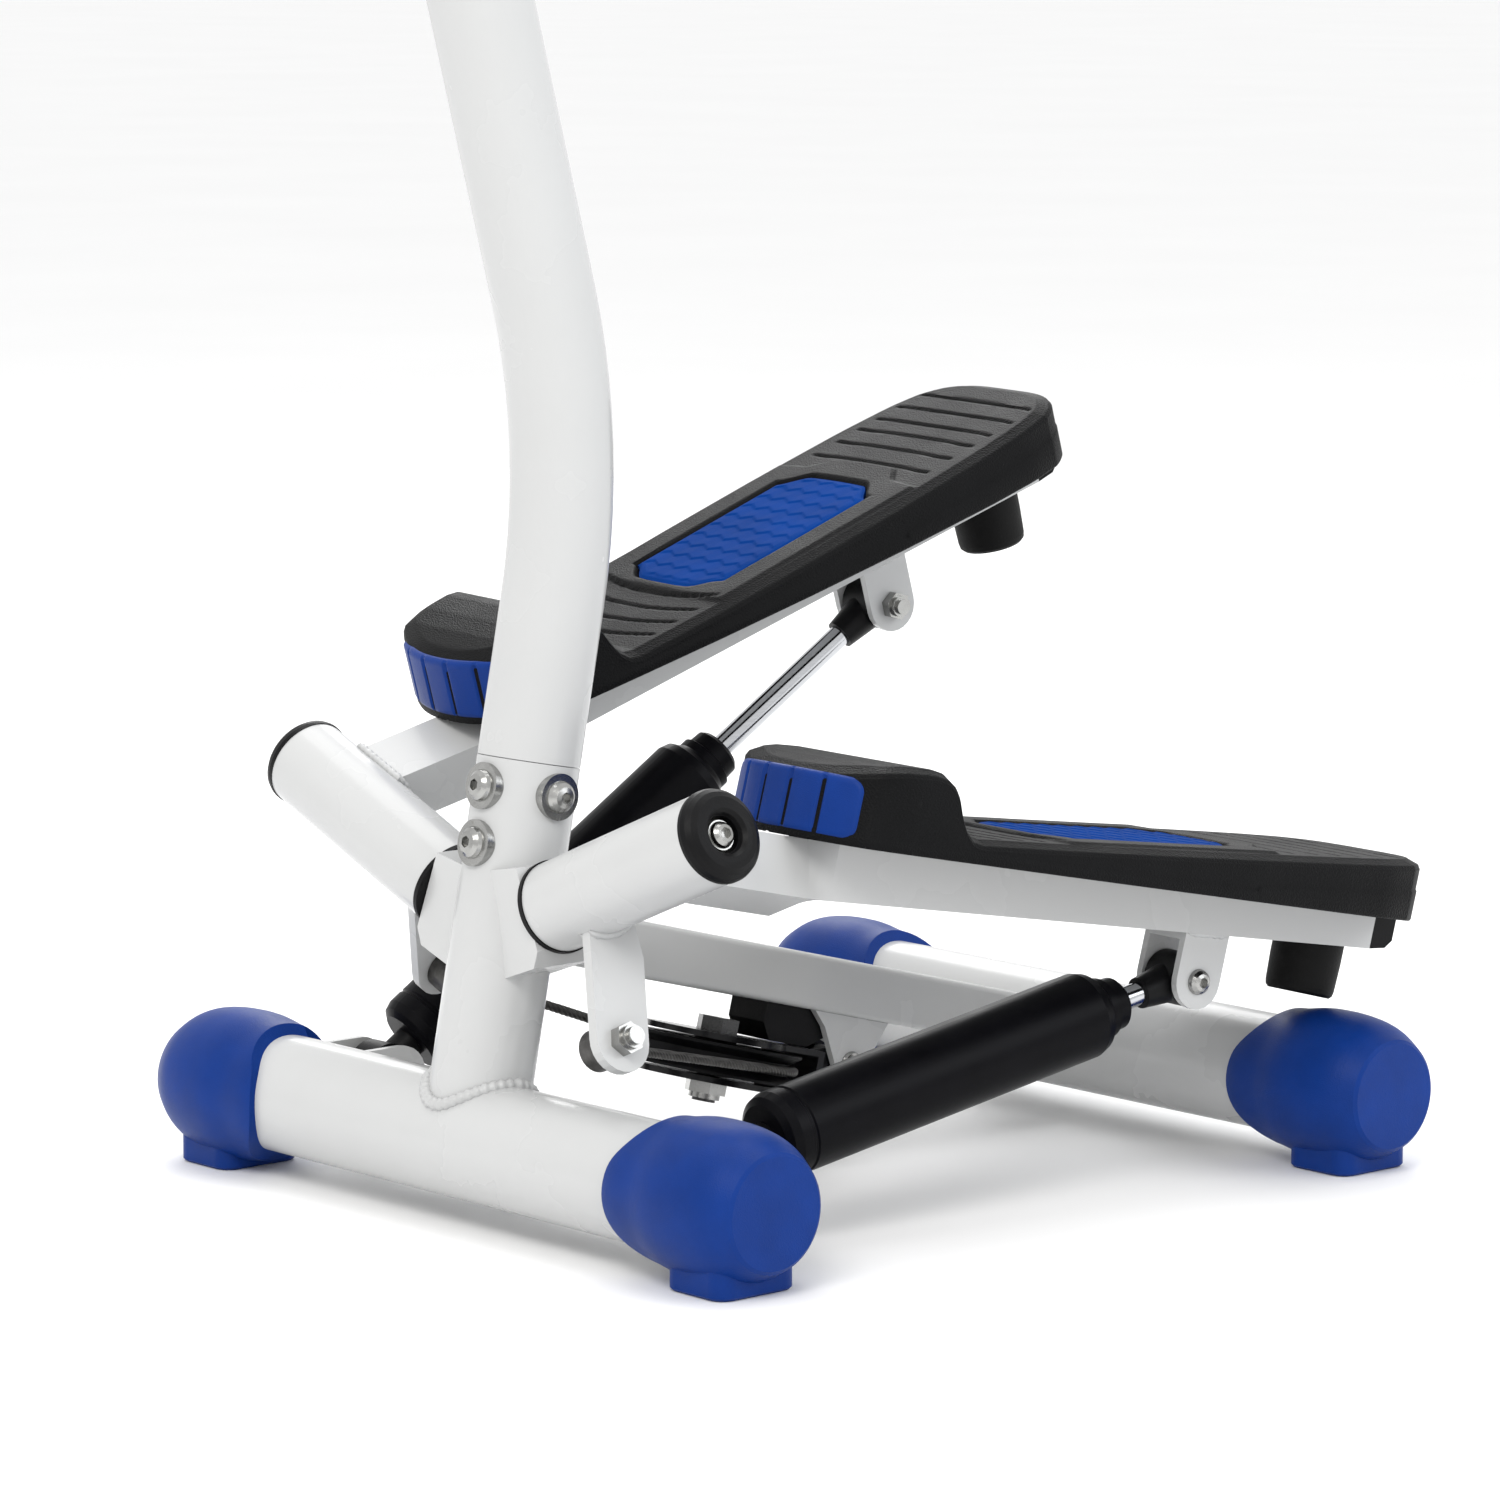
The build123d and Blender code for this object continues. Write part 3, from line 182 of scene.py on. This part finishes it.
nodes = frame["nodes"]
row_slot = {s["node"]: s["material_slot"] for s in frame["record"]["subparts"]}
over = {"left_cylinder": "cyl_paint", "right_cylinder": "cyl_paint", "pulley_bolt": "dark_steel"}
for n, o in nodes.items():
    mm = M[over.get(n, row_slot[n])]
    o.data.materials.clear()
    o.data.materials.append(mm)


def bevel(names, width, angle=35, seg=2):
    for n in names:
        o = nodes[n]
        w = o.modifiers.new("edge_round", "BEVEL")
        w.width = width / 1000.0
        w.segments = seg
        w.limit_method = "ANGLE"
        w.angle_limit = math.radians(angle)
        w.use_clamp_overlap = True
        w.harden_normals = False


# ------------------------------------------------------------------ mesh helpers
def piece(name, v, f, material, body=None, sharp=40.0, stands_for=()):
    me = bpy.data.meshes.new(name)
    me.from_pydata([tuple(map(float, p)) for p in v], [], [tuple(int(i) for i in q) for q in f])
    me.validate()
    for p in me.polygons:
        p.use_smooth = True
    me.set_sharp_from_angle(angle=math.radians(sharp))
    o = bpy.data.objects.new(name, me)
    bpy.context.scene.collection.objects.link(o)
    me.materials.append(M[material])
    if stands_for:
        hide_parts(*stands_for)
    if body:
        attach(o, body)
    return o


def orient(v, f):
    """Faces turned so that the closed mesh has positive volume."""
    v = np.asarray(v, float)
    vol = 0.0
    for q in f:
        for k in range(1, len(q) - 1):
            vol += np.dot(v[q[0]], np.cross(v[q[k]], v[q[k + 1]]))
    return [tuple(reversed(q)) for q in f] if vol < 0 else f


def loft_loops(loops, closed_ends=True):
    """Closed loops of equal length joined one to the next."""
    n = len(loops[0])
    v = np.concatenate(loops)
    f = []
    for k in range(len(loops) - 1):
        for i in range(n):
            j = (i + 1) % n
            f.append((k * n + i, k * n + j, (k + 1) * n + j, (k + 1) * n + i))
    if closed_ends:
        f.append(tuple(range(n - 1, -1, -1)))
        f.append(tuple((len(loops) - 1) * n + i for i in range(n)))
    return v, orient(v, f)


def tube_along(pts, radii, nseg=12, closed=False, up=None):
    """Round tube through the points; radii is one number or one per point."""
    pts = np.asarray(pts, float)
    n = len(pts)
    radii = np.full(n, radii, float) if np.isscalar(radii) else np.asarray(radii, float)
    if closed:
        t = np.roll(pts, -1, 0) - np.roll(pts, 1, 0)
    else:
        t = np.gradient(pts, axis=0)
    t /= np.linalg.norm(t, axis=1)[:, None]
    a = np.array([0, 0, 1.0]) if up is None else np.asarray(up, float)
    if abs(t[0] @ a) > 0.9:
        a = np.array([1.0, 0, 0])
    u = a - t[0] * (a @ t[0])
    u /= np.linalg.norm(u)
    loops = []
    for k in range(n):
        u = u - t[k] * (u @ t[k])
        u /= np.linalg.norm(u)
        w = np.cross(t[k], u)
        ang = 2 * np.pi * np.arange(nseg) / nseg
        loops.append(pts[k] + radii[k] * (np.cos(ang)[:, None] * u + np.sin(ang)[:, None] * w))
    if not closed:
        return loft_loops(loops)
    v = np.concatenate(loops)
    f = []
    for k in range(n):
        k2 = (k + 1) % n
        for i in range(nseg):
            j = (i + 1) % nseg
            f.append((k * nseg + i, k * nseg + j, k2 * nseg + j, k2 * nseg + i))
    return v, orient(v, f)


def join(parts):
    v, f, off = [], [], 0
    for a, b in parts:
        v.append(np.asarray(a))
        f += [tuple(i + off for i in q) for q in b]
        off += len(a)
    return np.concatenate(v), f


# ------------------------------------------------------------------ pedal
XC = 114.0
WY = np.array([-109, -95, -60, 0, 60, 120, 180, 215, 232.0])
WW = np.array([56, 61, 64, 68, 70, 70, 67.5, 63.5, 58.0])
_y = np.linspace(-109, 232, 700)
_w = np.interp(_y, WY, WW)
_k = np.hanning(61); _k /= _k.sum()
_w = np.convolve(np.pad(_w, 30, mode="reflect", reflect_type="odd"), _k, mode="valid")


def half_width(y):
    y = np.asarray(y, float)
    w = np.interp(y, _y, _w)
    f = np.clip((y + 127.5) / 18.5, 0, 1)
    h = np.clip((253.5 - y) / 21.5, 0, 1)
    w = np.where(y < -109, _w[0] * f ** (1 / 2.2), w)
    return np.where(y > 232, _w[-1] * h ** 0.24, w)


TOPY = np.array([-128, -124, -118, -108, -95, -80, -73, -68.5, -65, -61.5, -57.5, -52, -46, 0, 260.0])
TOPZ = np.array([245.5, 248.5, 251.3, 255.0, 257.8, 259.3, 258.6, 256.0, 251.6, 243.5, 237.0, 232.3, 231.6, 237.5, 272.1])


def z_bottom(y):
    return 222.6 + 0.0637 * y


def smooth(a, b, x):
    t = np.clip((x - a) / (b - a), 0, 1)
    return t * t * (3 - 2 * t)


def groove(d, half=1.15, depth=1.6):
    """Depth of a rounded groove at distance d from its line."""
    return depth * (1 - smooth(half * 0.45, half * 1.25, np.abs(d)))


PAD_HALF = 40.0


def pad_curve(u, front):
    k = smooth(0.55, 1.0, np.abs(u))
    return 15.0 + 2 * u * u + 9.0 * k if front else 135.0 - 2 * u * u - 11.0 * k


def pad_edge(x, y):
    """Signed distance-like value, positive inside the blue pad."""
    u = (x - XC) / PAD_HALF
    return np.minimum(np.minimum(PAD_HALF - np.abs(x - XC), y - pad_curve(u, True)), pad_curve(u, False) - y)


def tread(x, y, edge):
    """Height of the pattern above the tread plane, in mm."""
    u = (x - XC) / 55.0
    h = np.zeros_like(x)
    for y0 in (157, 173, 188, 201, 216, 231):
        h -= groove(y - (y0 - 1.2 * u * u)) * smooth(0, 4, 52.0 - np.abs(x - XC)) * smooth(9, 11, edge)
    for k, y0 in enumerate((5, -9, -23, -37)):
        h -= groove(y - (y0 + 7.5 * u * u)) * smooth(0, 4, 55.0 - np.abs(x - XC)) * smooth(9, 11, edge)
    pe = pad_edge(x, y)
    ridge = smooth(-21, -18, pe) * (1 - smooth(-2.2, -0.4, pe)) * smooth(10, 14, y + 4)
    h += 1.5 * ridge * smooth(3, 7, edge)
    h -= 4.0 * smooth(-1.2, 0.6, pe)
    return h


def dist_outline(x, y, ys, ws):
    px = np.concatenate([XC + ws, XC - ws[::-1]])
    py = np.concatenate([ys, ys[::-1]])
    d = np.full(x.shape, 1e9)
    for i in range(len(px)):
        j = (i + 1) % len(px)
        ex, ey = px[j] - px[i], py[j] - py[i]
        L = ex * ex + ey * ey
        if L < 1e-9:
            continue
        t = np.clip(((x - px[i]) * ex + (y - py[i]) * ey) / L, 0, 1)
        d = np.minimum(d, np.hypot(x - px[i] - t * ex, y - py[i] - t * ey))
    return d


def pedal_mesh():
    a = -127.4 + 18.4 * (1 - np.cos(np.linspace(0, np.pi / 2, 26))) ** 1.0
    b = np.arange(-108.0, 231.5, 1.15)
    c = 253.46 - 21.4 * (1 - np.cos(np.linspace(np.pi / 2, 0, 40))) ** 1.8
    ys = np.concatenate([a, b, c])
    ys = np.unique(np.round(ys, 4))
    ws = np.maximum(half_width(ys), 0.6)
    e = np.array([0, .004, .009, .015, .023, .034, .048, .066, .086, .102, .113, .124])
    inner = np.linspace(0.145, 1.0, 46)
    us = np.concatenate([e, inner])
    us = np.concatenate([-(1 - us), (1 - us)[::-1][1:]])
    X = XC + ws[:, None] * us[None, :]
    Y = np.repeat(ys[:, None], len(us), 1)
    oy = np.unique(np.concatenate([a, np.linspace(-108, 231, 120), c]))
    D = dist_outline(X, Y, oy, np.maximum(half_width(oy), 0.0))
    base = np.interp(Y, TOPY, TOPZ)
    C = 8.0
    lin = np.clip((C - D) / C, 0, 1)
    drop = 3.4 * (lin * smooth(0.0, 0.18, lin) * 0.85 + 0.15 * lin) + 1.6 * smooth(1.4, 0.0, D)
    Z = base - drop + tread(X, Y, D)
    loops = []
    nu = len(us)
    for k, y in enumerate(ys):
        w = ws[k]
        zb = z_bottom(y)
        if y > 200 and w < 24:
            zb = arm_bottom(y) + 29.0 + 1.6
        zt0, zt1 = Z[k, 0], Z[k, -1]
        step = (zt0 - 11.0) if y > 122 else (zb + 5.5)
        step = max(min(step, zt0 - 1.5), zb + 1.2)
        lip = 0.9 * min(1.0, w / 12.0)
        side = [(0.0, zt0 - 0.5), (0.0, step + 0.5), (lip, step - 0.3), (lip, zb + 1.0), (lip - 0.8, zb)]
        L = [(XC - w - dx, y, z) for dx, z in side]
        Rr = [(XC + w + dx, y, z) for dx, z in side]
        wi = max(w - 4.0, 0.3)
        room = smooth(-124, -112, y) * smooth(252, 246, y) if w > 8 else 0.0
        room = float(np.clip(room, 0, 1))
        deck = zb + 0.4 + room * max(np.interp(y, TOPY, TOPZ) - 9.5 - zb, 0.0)
        if y < -48:
            deck = min(deck, zb + 0.4 + room * 26.0)
        under = [(XC + wi, y, zb), (XC + wi - 0.3, y, deck), (XC, y, deck), (XC - wi + 0.3, y, deck), (XC - wi, y, zb)]
        top = [(X[k, i], y, Z[k, i]) for i in range(nu)]
        loops.append(np.array(top + Rr + under + L[::-1]))
    return loft_loops(loops)


def pad_mesh():
    n, m = 100, 190
    u = np.linspace(-1, 1, n)
    t = np.linspace(0, 1, m)
    U, T = np.meshgrid(u, t)
    Xg = XC + (PAD_HALF - 0.5) * U
    y0 = pad_curve(U, True) + 0.5
    y1 = pad_curve(U, False) - 0.5
    Yg = y0 + (y1 - y0) * T
    edge = np.minimum(np.minimum((1 - np.abs(U)) * PAD_HALF, (Yg - y0)), (y1 - Yg))
    ph = (Yg - 75) / 11.0 + 0.32 * np.abs(((Xg - XC) / 15.0 + 0.5) % 1.0 * 2 - 1)
    saw = (ph % 1.0)
    wave = smooth(0.0, 0.14, saw) * (1 - saw) ** 0.8
    hgt = 0.9 + 0.8 * wave * smooth(2.0, 5.0, edge) + 1.0 * smooth(0.0, 2.2, edge)
    Zg = 237.5 + 0.133 * Yg - 1.2 + hgt
    v = [(Xg[j, i], Yg[j, i], Zg[j, i]) for j in range(m) for i in range(n)]
    f = [(j * n + i, j * n + i + 1, (j + 1) * n + i + 1, (j + 1) * n + i) for j in range(m - 1) for i in range(n - 1)]
    rim = [i for i in range(n)] + [j * n + n - 1 for j in range(1, m)] + [(m - 1) * n + i for i in range(n - 2, -1, -1)] + [j * n for j in range(m - 2, 0, -1)]
    base = len(v)
    for i in rim:
        x, y, z = v[i]
        v.append((x, y, 237.5 + 0.133 * y - 2.4))
    k = len(rim)
    for a in range(k):
        b = (a + 1) % k
        f.append((rim[b], rim[a], base + a, base + b))
    f.append(tuple(base + a for a in range(k)))
    return np.array(v), orient(v, f)


def toe_mesh():
    """Panel on the bowed front of the toe block, with four upright grooves."""
    n, m = 150, 26
    s = np.linspace(-1, 1, n)
    t = np.linspace(0, 1, m)
    xs = 51.0 * s
    ycurve = -127.5 + 18.5 * (np.abs(xs) / 56.0) ** 2.2
    nx = np.gradient(ycurve, xs)
    nrm = np.stack([nx, -np.ones_like(nx)], 1)
    nrm /= np.linalg.norm(nrm, axis=1)[:, None]
    outer = []
    for j, tt in enumerate(t):
        for i in range(n):
            z = 217.5 + (247.8 - 217.5) * tt
            ex = min(51.0 - abs(xs[i]), (z - 217.5) * 1.0, (247.8 - z) * 1.0)
            corner = 0.0
            rr = 7.0
            cx, cz = 51.0 - rr, 247.8 - rr
            if abs(xs[i]) > cx and z > cz:
                ex = rr - math.hypot(abs(xs[i]) - cx, z - cz)
            elif abs(xs[i]) > cx and z < 217.5 + rr:
                ex = rr - math.hypot(abs(xs[i]) - cx, 217.5 + rr - z)
            o = 1.9 * float(smooth(-0.6, 2.0, ex)) - 0.9
            for gx in (-30.6, -10.2, 10.2, 30.6):
                o -= float(groove(xs[i] - gx, 1.6, 1.4)) * float(smooth(0.5, 2.5, ex))
            outer.append((XC + xs[i] + nrm[i, 0] * o, ycurve[i] + nrm[i, 1] * o, z))
    f = [(j * n + i, j * n + i + 1, (j + 1) * n + i + 1, (j + 1) * n + i) for j in range(m - 1) for i in range(n - 1)]
    rim = [i for i in range(n)] + [j * n + n - 1 for j in range(1, m)] + [(m - 1) * n + i for i in range(n - 2, -1, -1)] + [j * n for j in range(m - 2, 0, -1)]
    v = list(outer)
    base = len(v)
    for i in rim:
        ii = i % n
        v.append((XC + xs[ii] - nrm[ii, 0] * 2.5, ycurve[ii] - nrm[ii, 1] * 2.5, v[i][2]))
    k = len(rim)
    for a in range(k):
        b = (a + 1) % k
        f.append((rim[b], rim[a], base + a, base + b))
    mid = len(v)
    inner = [(XC + xs[i] - nrm[i, 0] * 2.5, ycurve[i] - nrm[i, 1] * 2.5, 232.0) for i in range(n)]
    # back of the panel as one strip between its lower and upper edges
    low = [base + a for a in range(n)]
    up = [base + a for a in range(n + m - 2, n + m - 2 + n)][::-1]
    for a in range(n - 1):
        f.append((low[a + 1], low[a], up[a], up[a + 1]))
    left_side = [low[0]] + [base + a for a in range(k - 1, k - 1 - (m - 2), -1)] + [up[0]]
    right_side = [low[-1]] + [base + a for a in range(n, n + m - 2)] + [up[-1]]
    f.append(tuple(left_side))
    f.append(tuple(reversed(right_side)))
    return np.array(v), orient(v, f)


pv, pf = pedal_mesh()
qv, qf = pad_mesh()
tv, tf = toe_mesh()
for side in ("left", "right"):
    body = side + "_pedal"
    for nm, v, f, m_, node, shp in (("pedal_moulding", pv, pf, "black_grain", "_pedal", 50), ("tread_insert", qv, qf, "blue_pad", "_tread_pad", 50), ("toe_insert", tv, tf, "blue_plastic", "_toe_panel", 50)):
        w = place(v, side)
        piece(side + "_" + nm, w, orient(w, list(f)), m_, body, shp, (side + node,))

# ------------------------------------------------------------------ wire rope: seven strands
RN = math.atan(0.2624)
RV = np.array([0, math.cos(RN), -math.sin(RN)])
RNN = np.array([0, math.sin(RN), math.cos(RN)])
PC = np.array([0, -54.0, 62.0])
LE = hinge(18.0, 13.0, -73.3)


def rail_pt(v, n, x=0.0):
    return PC + RV * v + RNN * n + np.array([x, 0, 0])


def lever_end(side):
    p = rot(LE[None], -REST if side == "left" else REST)[0]
    return p if side == "left" else p * np.array([-1.0, 1, 1])


def tangent(P, sign, r=42.0):
    q = P - PC
    x, v = q[0] * sign, q @ RV
    d = math.hypot(x, v)
    phi = math.atan2(v, x) + math.acos(r / d)
    return rail_pt(r * math.sin(phi), 0, sign * r * math.cos(phi)), phi


def strands(pts, name, body, r=2.5, pitch=17.0):
    pts = np.asarray(pts)
    seg = np.linalg.norm(np.diff(pts, axis=0), axis=1)
    s = np.concatenate([[0], np.cumsum(seg)])
    n = max(int(s[-1] / 1.1), 8)
    q = np.linspace(0, s[-1], n)
    P = np.stack([np.interp(q, s, pts[:, k]) for k in range(3)], 1)
    t = np.gradient(P, axis=0)
    t /= np.linalg.norm(t, axis=1)[:, None]
    u = np.array([0, 0, 1.0]); u = u - t[0] * (u @ t[0]); u /= np.linalg.norm(u)
    U, W = [], []
    for k in range(n):
        u = u - t[k] * (u @ t[k]); u /= np.linalg.norm(u)
        U.append(u); W.append(np.cross(t[k], u))
    U, W = np.array(U), np.array(W)
    parts = [tube_along(world(P), 0.95 * r / 3 / 1000, 8)]
    for a in range(6):
        ang = 2 * np.pi * (a / 6 + q / pitch)
        c = P + (r * 0.64) * (np.cos(ang)[:, None] * U + np.sin(ang)[:, None] * W)
        parts.append(tube_along(world(c), r * 0.36 / 1000, 6))
    v, f = join(parts)
    return v, f


TLp, phl = tangent(lever_end("left"), 1)
TRp, phr = tangent(lever_end("right"), -1)
arc = [rail_pt(42 * math.sin(a), 0, 42 * math.cos(a)) for a in np.linspace(phl, math.pi - phr, 60)]
v, f = strands(arc, "rope_round_pulley", "frame")
piece("rope_round_pulley", v, f, "wire", "frame", 60, ("rope_wrap",))
for side, T0 in (("left", TLp), ("right", TRp)):
    P = lever_end(side)
    d = (T0 - P) / np.linalg.norm(T0 - P)
    pts = np.linspace(0, 1, 40)[:, None] * (P + d * 24.0 - T0)[None] + T0[None]
    v, f = strands(pts, side + "_rope", None)
    o = piece(side + "_rope", v, f, "wire", None, 60, (side + "_rope_run",))
    a, b = world(T0)[0], world(P + d * 26.0)[0]
    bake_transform(o)

# ------------------------------------------------------------------ weld beads
def bead(pts, name, body, r=2.2, closed=True, side=None):
    pts = np.asarray(pts, float)
    seg = np.linalg.norm(np.diff(np.vstack([pts, pts[:1]]) if closed else pts, axis=0), axis=1)
    s = np.concatenate([[0], np.cumsum(seg)])
    src = np.vstack([pts, pts[:1]]) if closed else pts
    n = max(int(s[-1] / 1.0), 12)
    q = np.linspace(0, s[-1], n, endpoint=not closed)
    P = np.stack([np.interp(q, s, src[:, k]) for k in range(3)], 1)
    ripple = r * (1 + 0.13 * np.sin(2 * np.pi * q / 4.1) + 0.07 * rng.standard_normal(n).cumsum() / math.sqrt(n))
    if not closed:
        ripple *= np.clip(np.minimum(q, s[-1] - q) / 3.0, 0.25, 1)
    w = place(P, side) if side else world(P)
    v, f = tube_along(w, ripple / 1000.0, 10, closed)
    piece(name, v, f, "weld", body, 60)


lean = math.radians(11.2)
cd = np.array([0, math.sin(lean), math.cos(lean)])
cn = np.array([0, math.cos(lean), -math.sin(lean)])
c0 = np.array([0, -208.0, 40.5])
pts = []
for a in np.linspace(0, 2 * np.pi, 90, endpoint=False):
    r = 25.4 + 0.8
    o = np.array([r * math.cos(a), 0, 0]) + cn * r * math.sin(a)
    # meet the base tube: (y+208)^2 + (z-40.5)^2 = 30^2
    A = cd[1] ** 2 + cd[2] ** 2
    B = 2 * (o[1] * cd[1] + o[2] * cd[2])
    C = o[1] ** 2 + o[2] ** 2 - 30.5 ** 2
    t = (-B + math.sqrt(max(B * B - 4 * A * C, 0))) / (2 * A)
    pts.append(c0 + o + cd * t)
bead(pts, "weld_column_base", "frame", 3.6)

for side in ("left", "right"):
    # arm on the hinge tube
    ring = []
    for a, b in ((-1, -1), (1, -1), (1, 1), (-1, 1)):
        ring.append((a, b))
    pr = []
    hw, hh = 16.6, 15.6
    def at_tube(s, h):
        yy = math.sqrt(max(22.7 ** 2 - h * h, 0))
        return hinge(87 - 5 * yy / 82 + s, yy, h + 5.3 * yy / 82)
    for s in np.linspace(-hw, hw, 16):
        pr.append(at_tube(s, hh))
    for h in np.linspace(hh, -hh, 16)[1:]:
        pr.append(at_tube(hw, h))
    for s in np.linspace(hw, -hw, 16)[1:]:
        pr.append(at_tube(s, -hh))
    for h in np.linspace(-hh, hh, 16)[1:-1]:
        pr.append(at_tube(-hw, h))
    bead(pr, side + "_weld_arm", side + "_pedal", 2.1, True, side)
    for s, tag in ((24.4, "in"), (31.6, "out")):
        arcp = [hinge(s, 22.9 * math.sin(a), -22.9 * math.cos(a)) for a in np.linspace(-0.28, 1.0, 30)]
        bead(arcp, side + "_weld_lever_" + tag, side + "_pedal", 1.9, False, side)
    for sx, tag in ((-16.6, "in"), (16.6, "out")):
        kx, ky = 114.8, 141.3
        ln = [(kx + sx, yy, arm_bottom(yy) - 0.3) for yy in np.linspace(ky - 13, ky + 13, 14)]
        bead(ln, side + "_weld_clevis_" + tag, side + "_pedal", 1.6, False, side)

# rail to column bead, both sides of the rail top
for sx in (-20.4, 20.4):
    ln = []
    for t in np.linspace(0, 1, 14):
        z0 = 112.0 + 28 * t
        yb = -208 + (z0 + 13 - 40.5) * math.tan(lean) + 15.5
        ln.append((sx, yb + 3.0, z0 + 13))
    bead(ln, "weld_rail_" + ("l" if sx > 0 else "r"), "frame", 1.9, False)

# ------------------------------------------------------------------ edges of the CAD pieces
bevel(["left_arm", "right_arm"], 2.6, 50, 3)
bevel(["left_lever", "right_lever", "left_clevis", "right_clevis", "rail_tabs", "damper_brackets", "pulley_fork", "fork_guide_block"], 0.7, 45, 2)
bevel(["pivot_brackets"], 2.2, 45, 3)
bevel(["end_caps_front", "end_caps_rear"], 1.2, 35, 2)
bevel(["left_arm_plug", "right_arm_plug"], 1.6, 45, 2)
# ------------------------------------------------------------------ floor, light and camera
bpy.ops.mesh.primitive_plane_add(size=60, location=(0, 0, -0.0004))
floor = bpy.context.object
floor.name = "floor"
fm = mat("floor_pale", (0.90, 0.90, 0.90), rough=0.75, scale=2.0, var=0.01)
floor.data.materials.append(fm)

w = bpy.context.scene.world or bpy.data.worlds.new("World")
bpy.context.scene.world = w
w.use_nodes = True
w.node_tree.nodes["Background"].inputs["Color"].default_value = (1.0, 1.0, 1.0, 1)
w.node_tree.nodes["Background"].inputs["Strength"].default_value = 1.08


def area(name, loc, target, size, power, color=(1, 1, 1)):
    l = bpy.data.lights.new(name, "AREA")
    l.shape = "RECTANGLE"
    l.size, l.size_y = size
    l.energy = power
    l.color = color
    o = bpy.data.objects.new(name, l)
    bpy.context.scene.collection.objects.link(o)
    o.location = loc
    d = Vector(target) - Vector(loc)
    o.rotation_euler = d.to_track_quat("-Z", "Y").to_euler()
    return o


area("key", (1.4, -2.2, 2.6), (0, 0, 0.2), (1.6, 1.2), 50, (1.0, 0.98, 0.95))
area("fill", (2.6, 1.4, 1.6), (0, 0, 0.2), (1.8, 1.4), 24, (0.93, 0.96, 1.0))
area("top", (-0.6, 0.4, 3.0), (0, 0, 0.0), (2.2, 2.2), 40)
area("back", (-2.2, 1.8, 1.8), (0, 0, 0.4), (1.2, 1.4), 22)

cam = bpy.data.cameras.new("cam")
co = bpy.data.objects.new("cam", cam)
bpy.context.scene.collection.objects.link(co)
az, el = math.radians(48.843), math.radians(8.239)
co.location = (2.3153, (-2052.2 + SH) / 1000.0, 0.6607)
fwd = Vector((-math.sin(az) * math.cos(el), math.cos(az) * math.cos(el), -math.sin(el)))
co.rotation_euler = fwd.to_track_quat("-Z", "Y").to_euler()
cam.sensor_width = 36.0
cam.lens = 6175.9 / 1500.0 * 36.0
cam.dof.use_dof = False
cam.clip_end = 60
bpy.context.scene.camera = co
vs = bpy.context.scene.view_settings
vs.view_transform = "Standard"
vs.exposure = -0.05
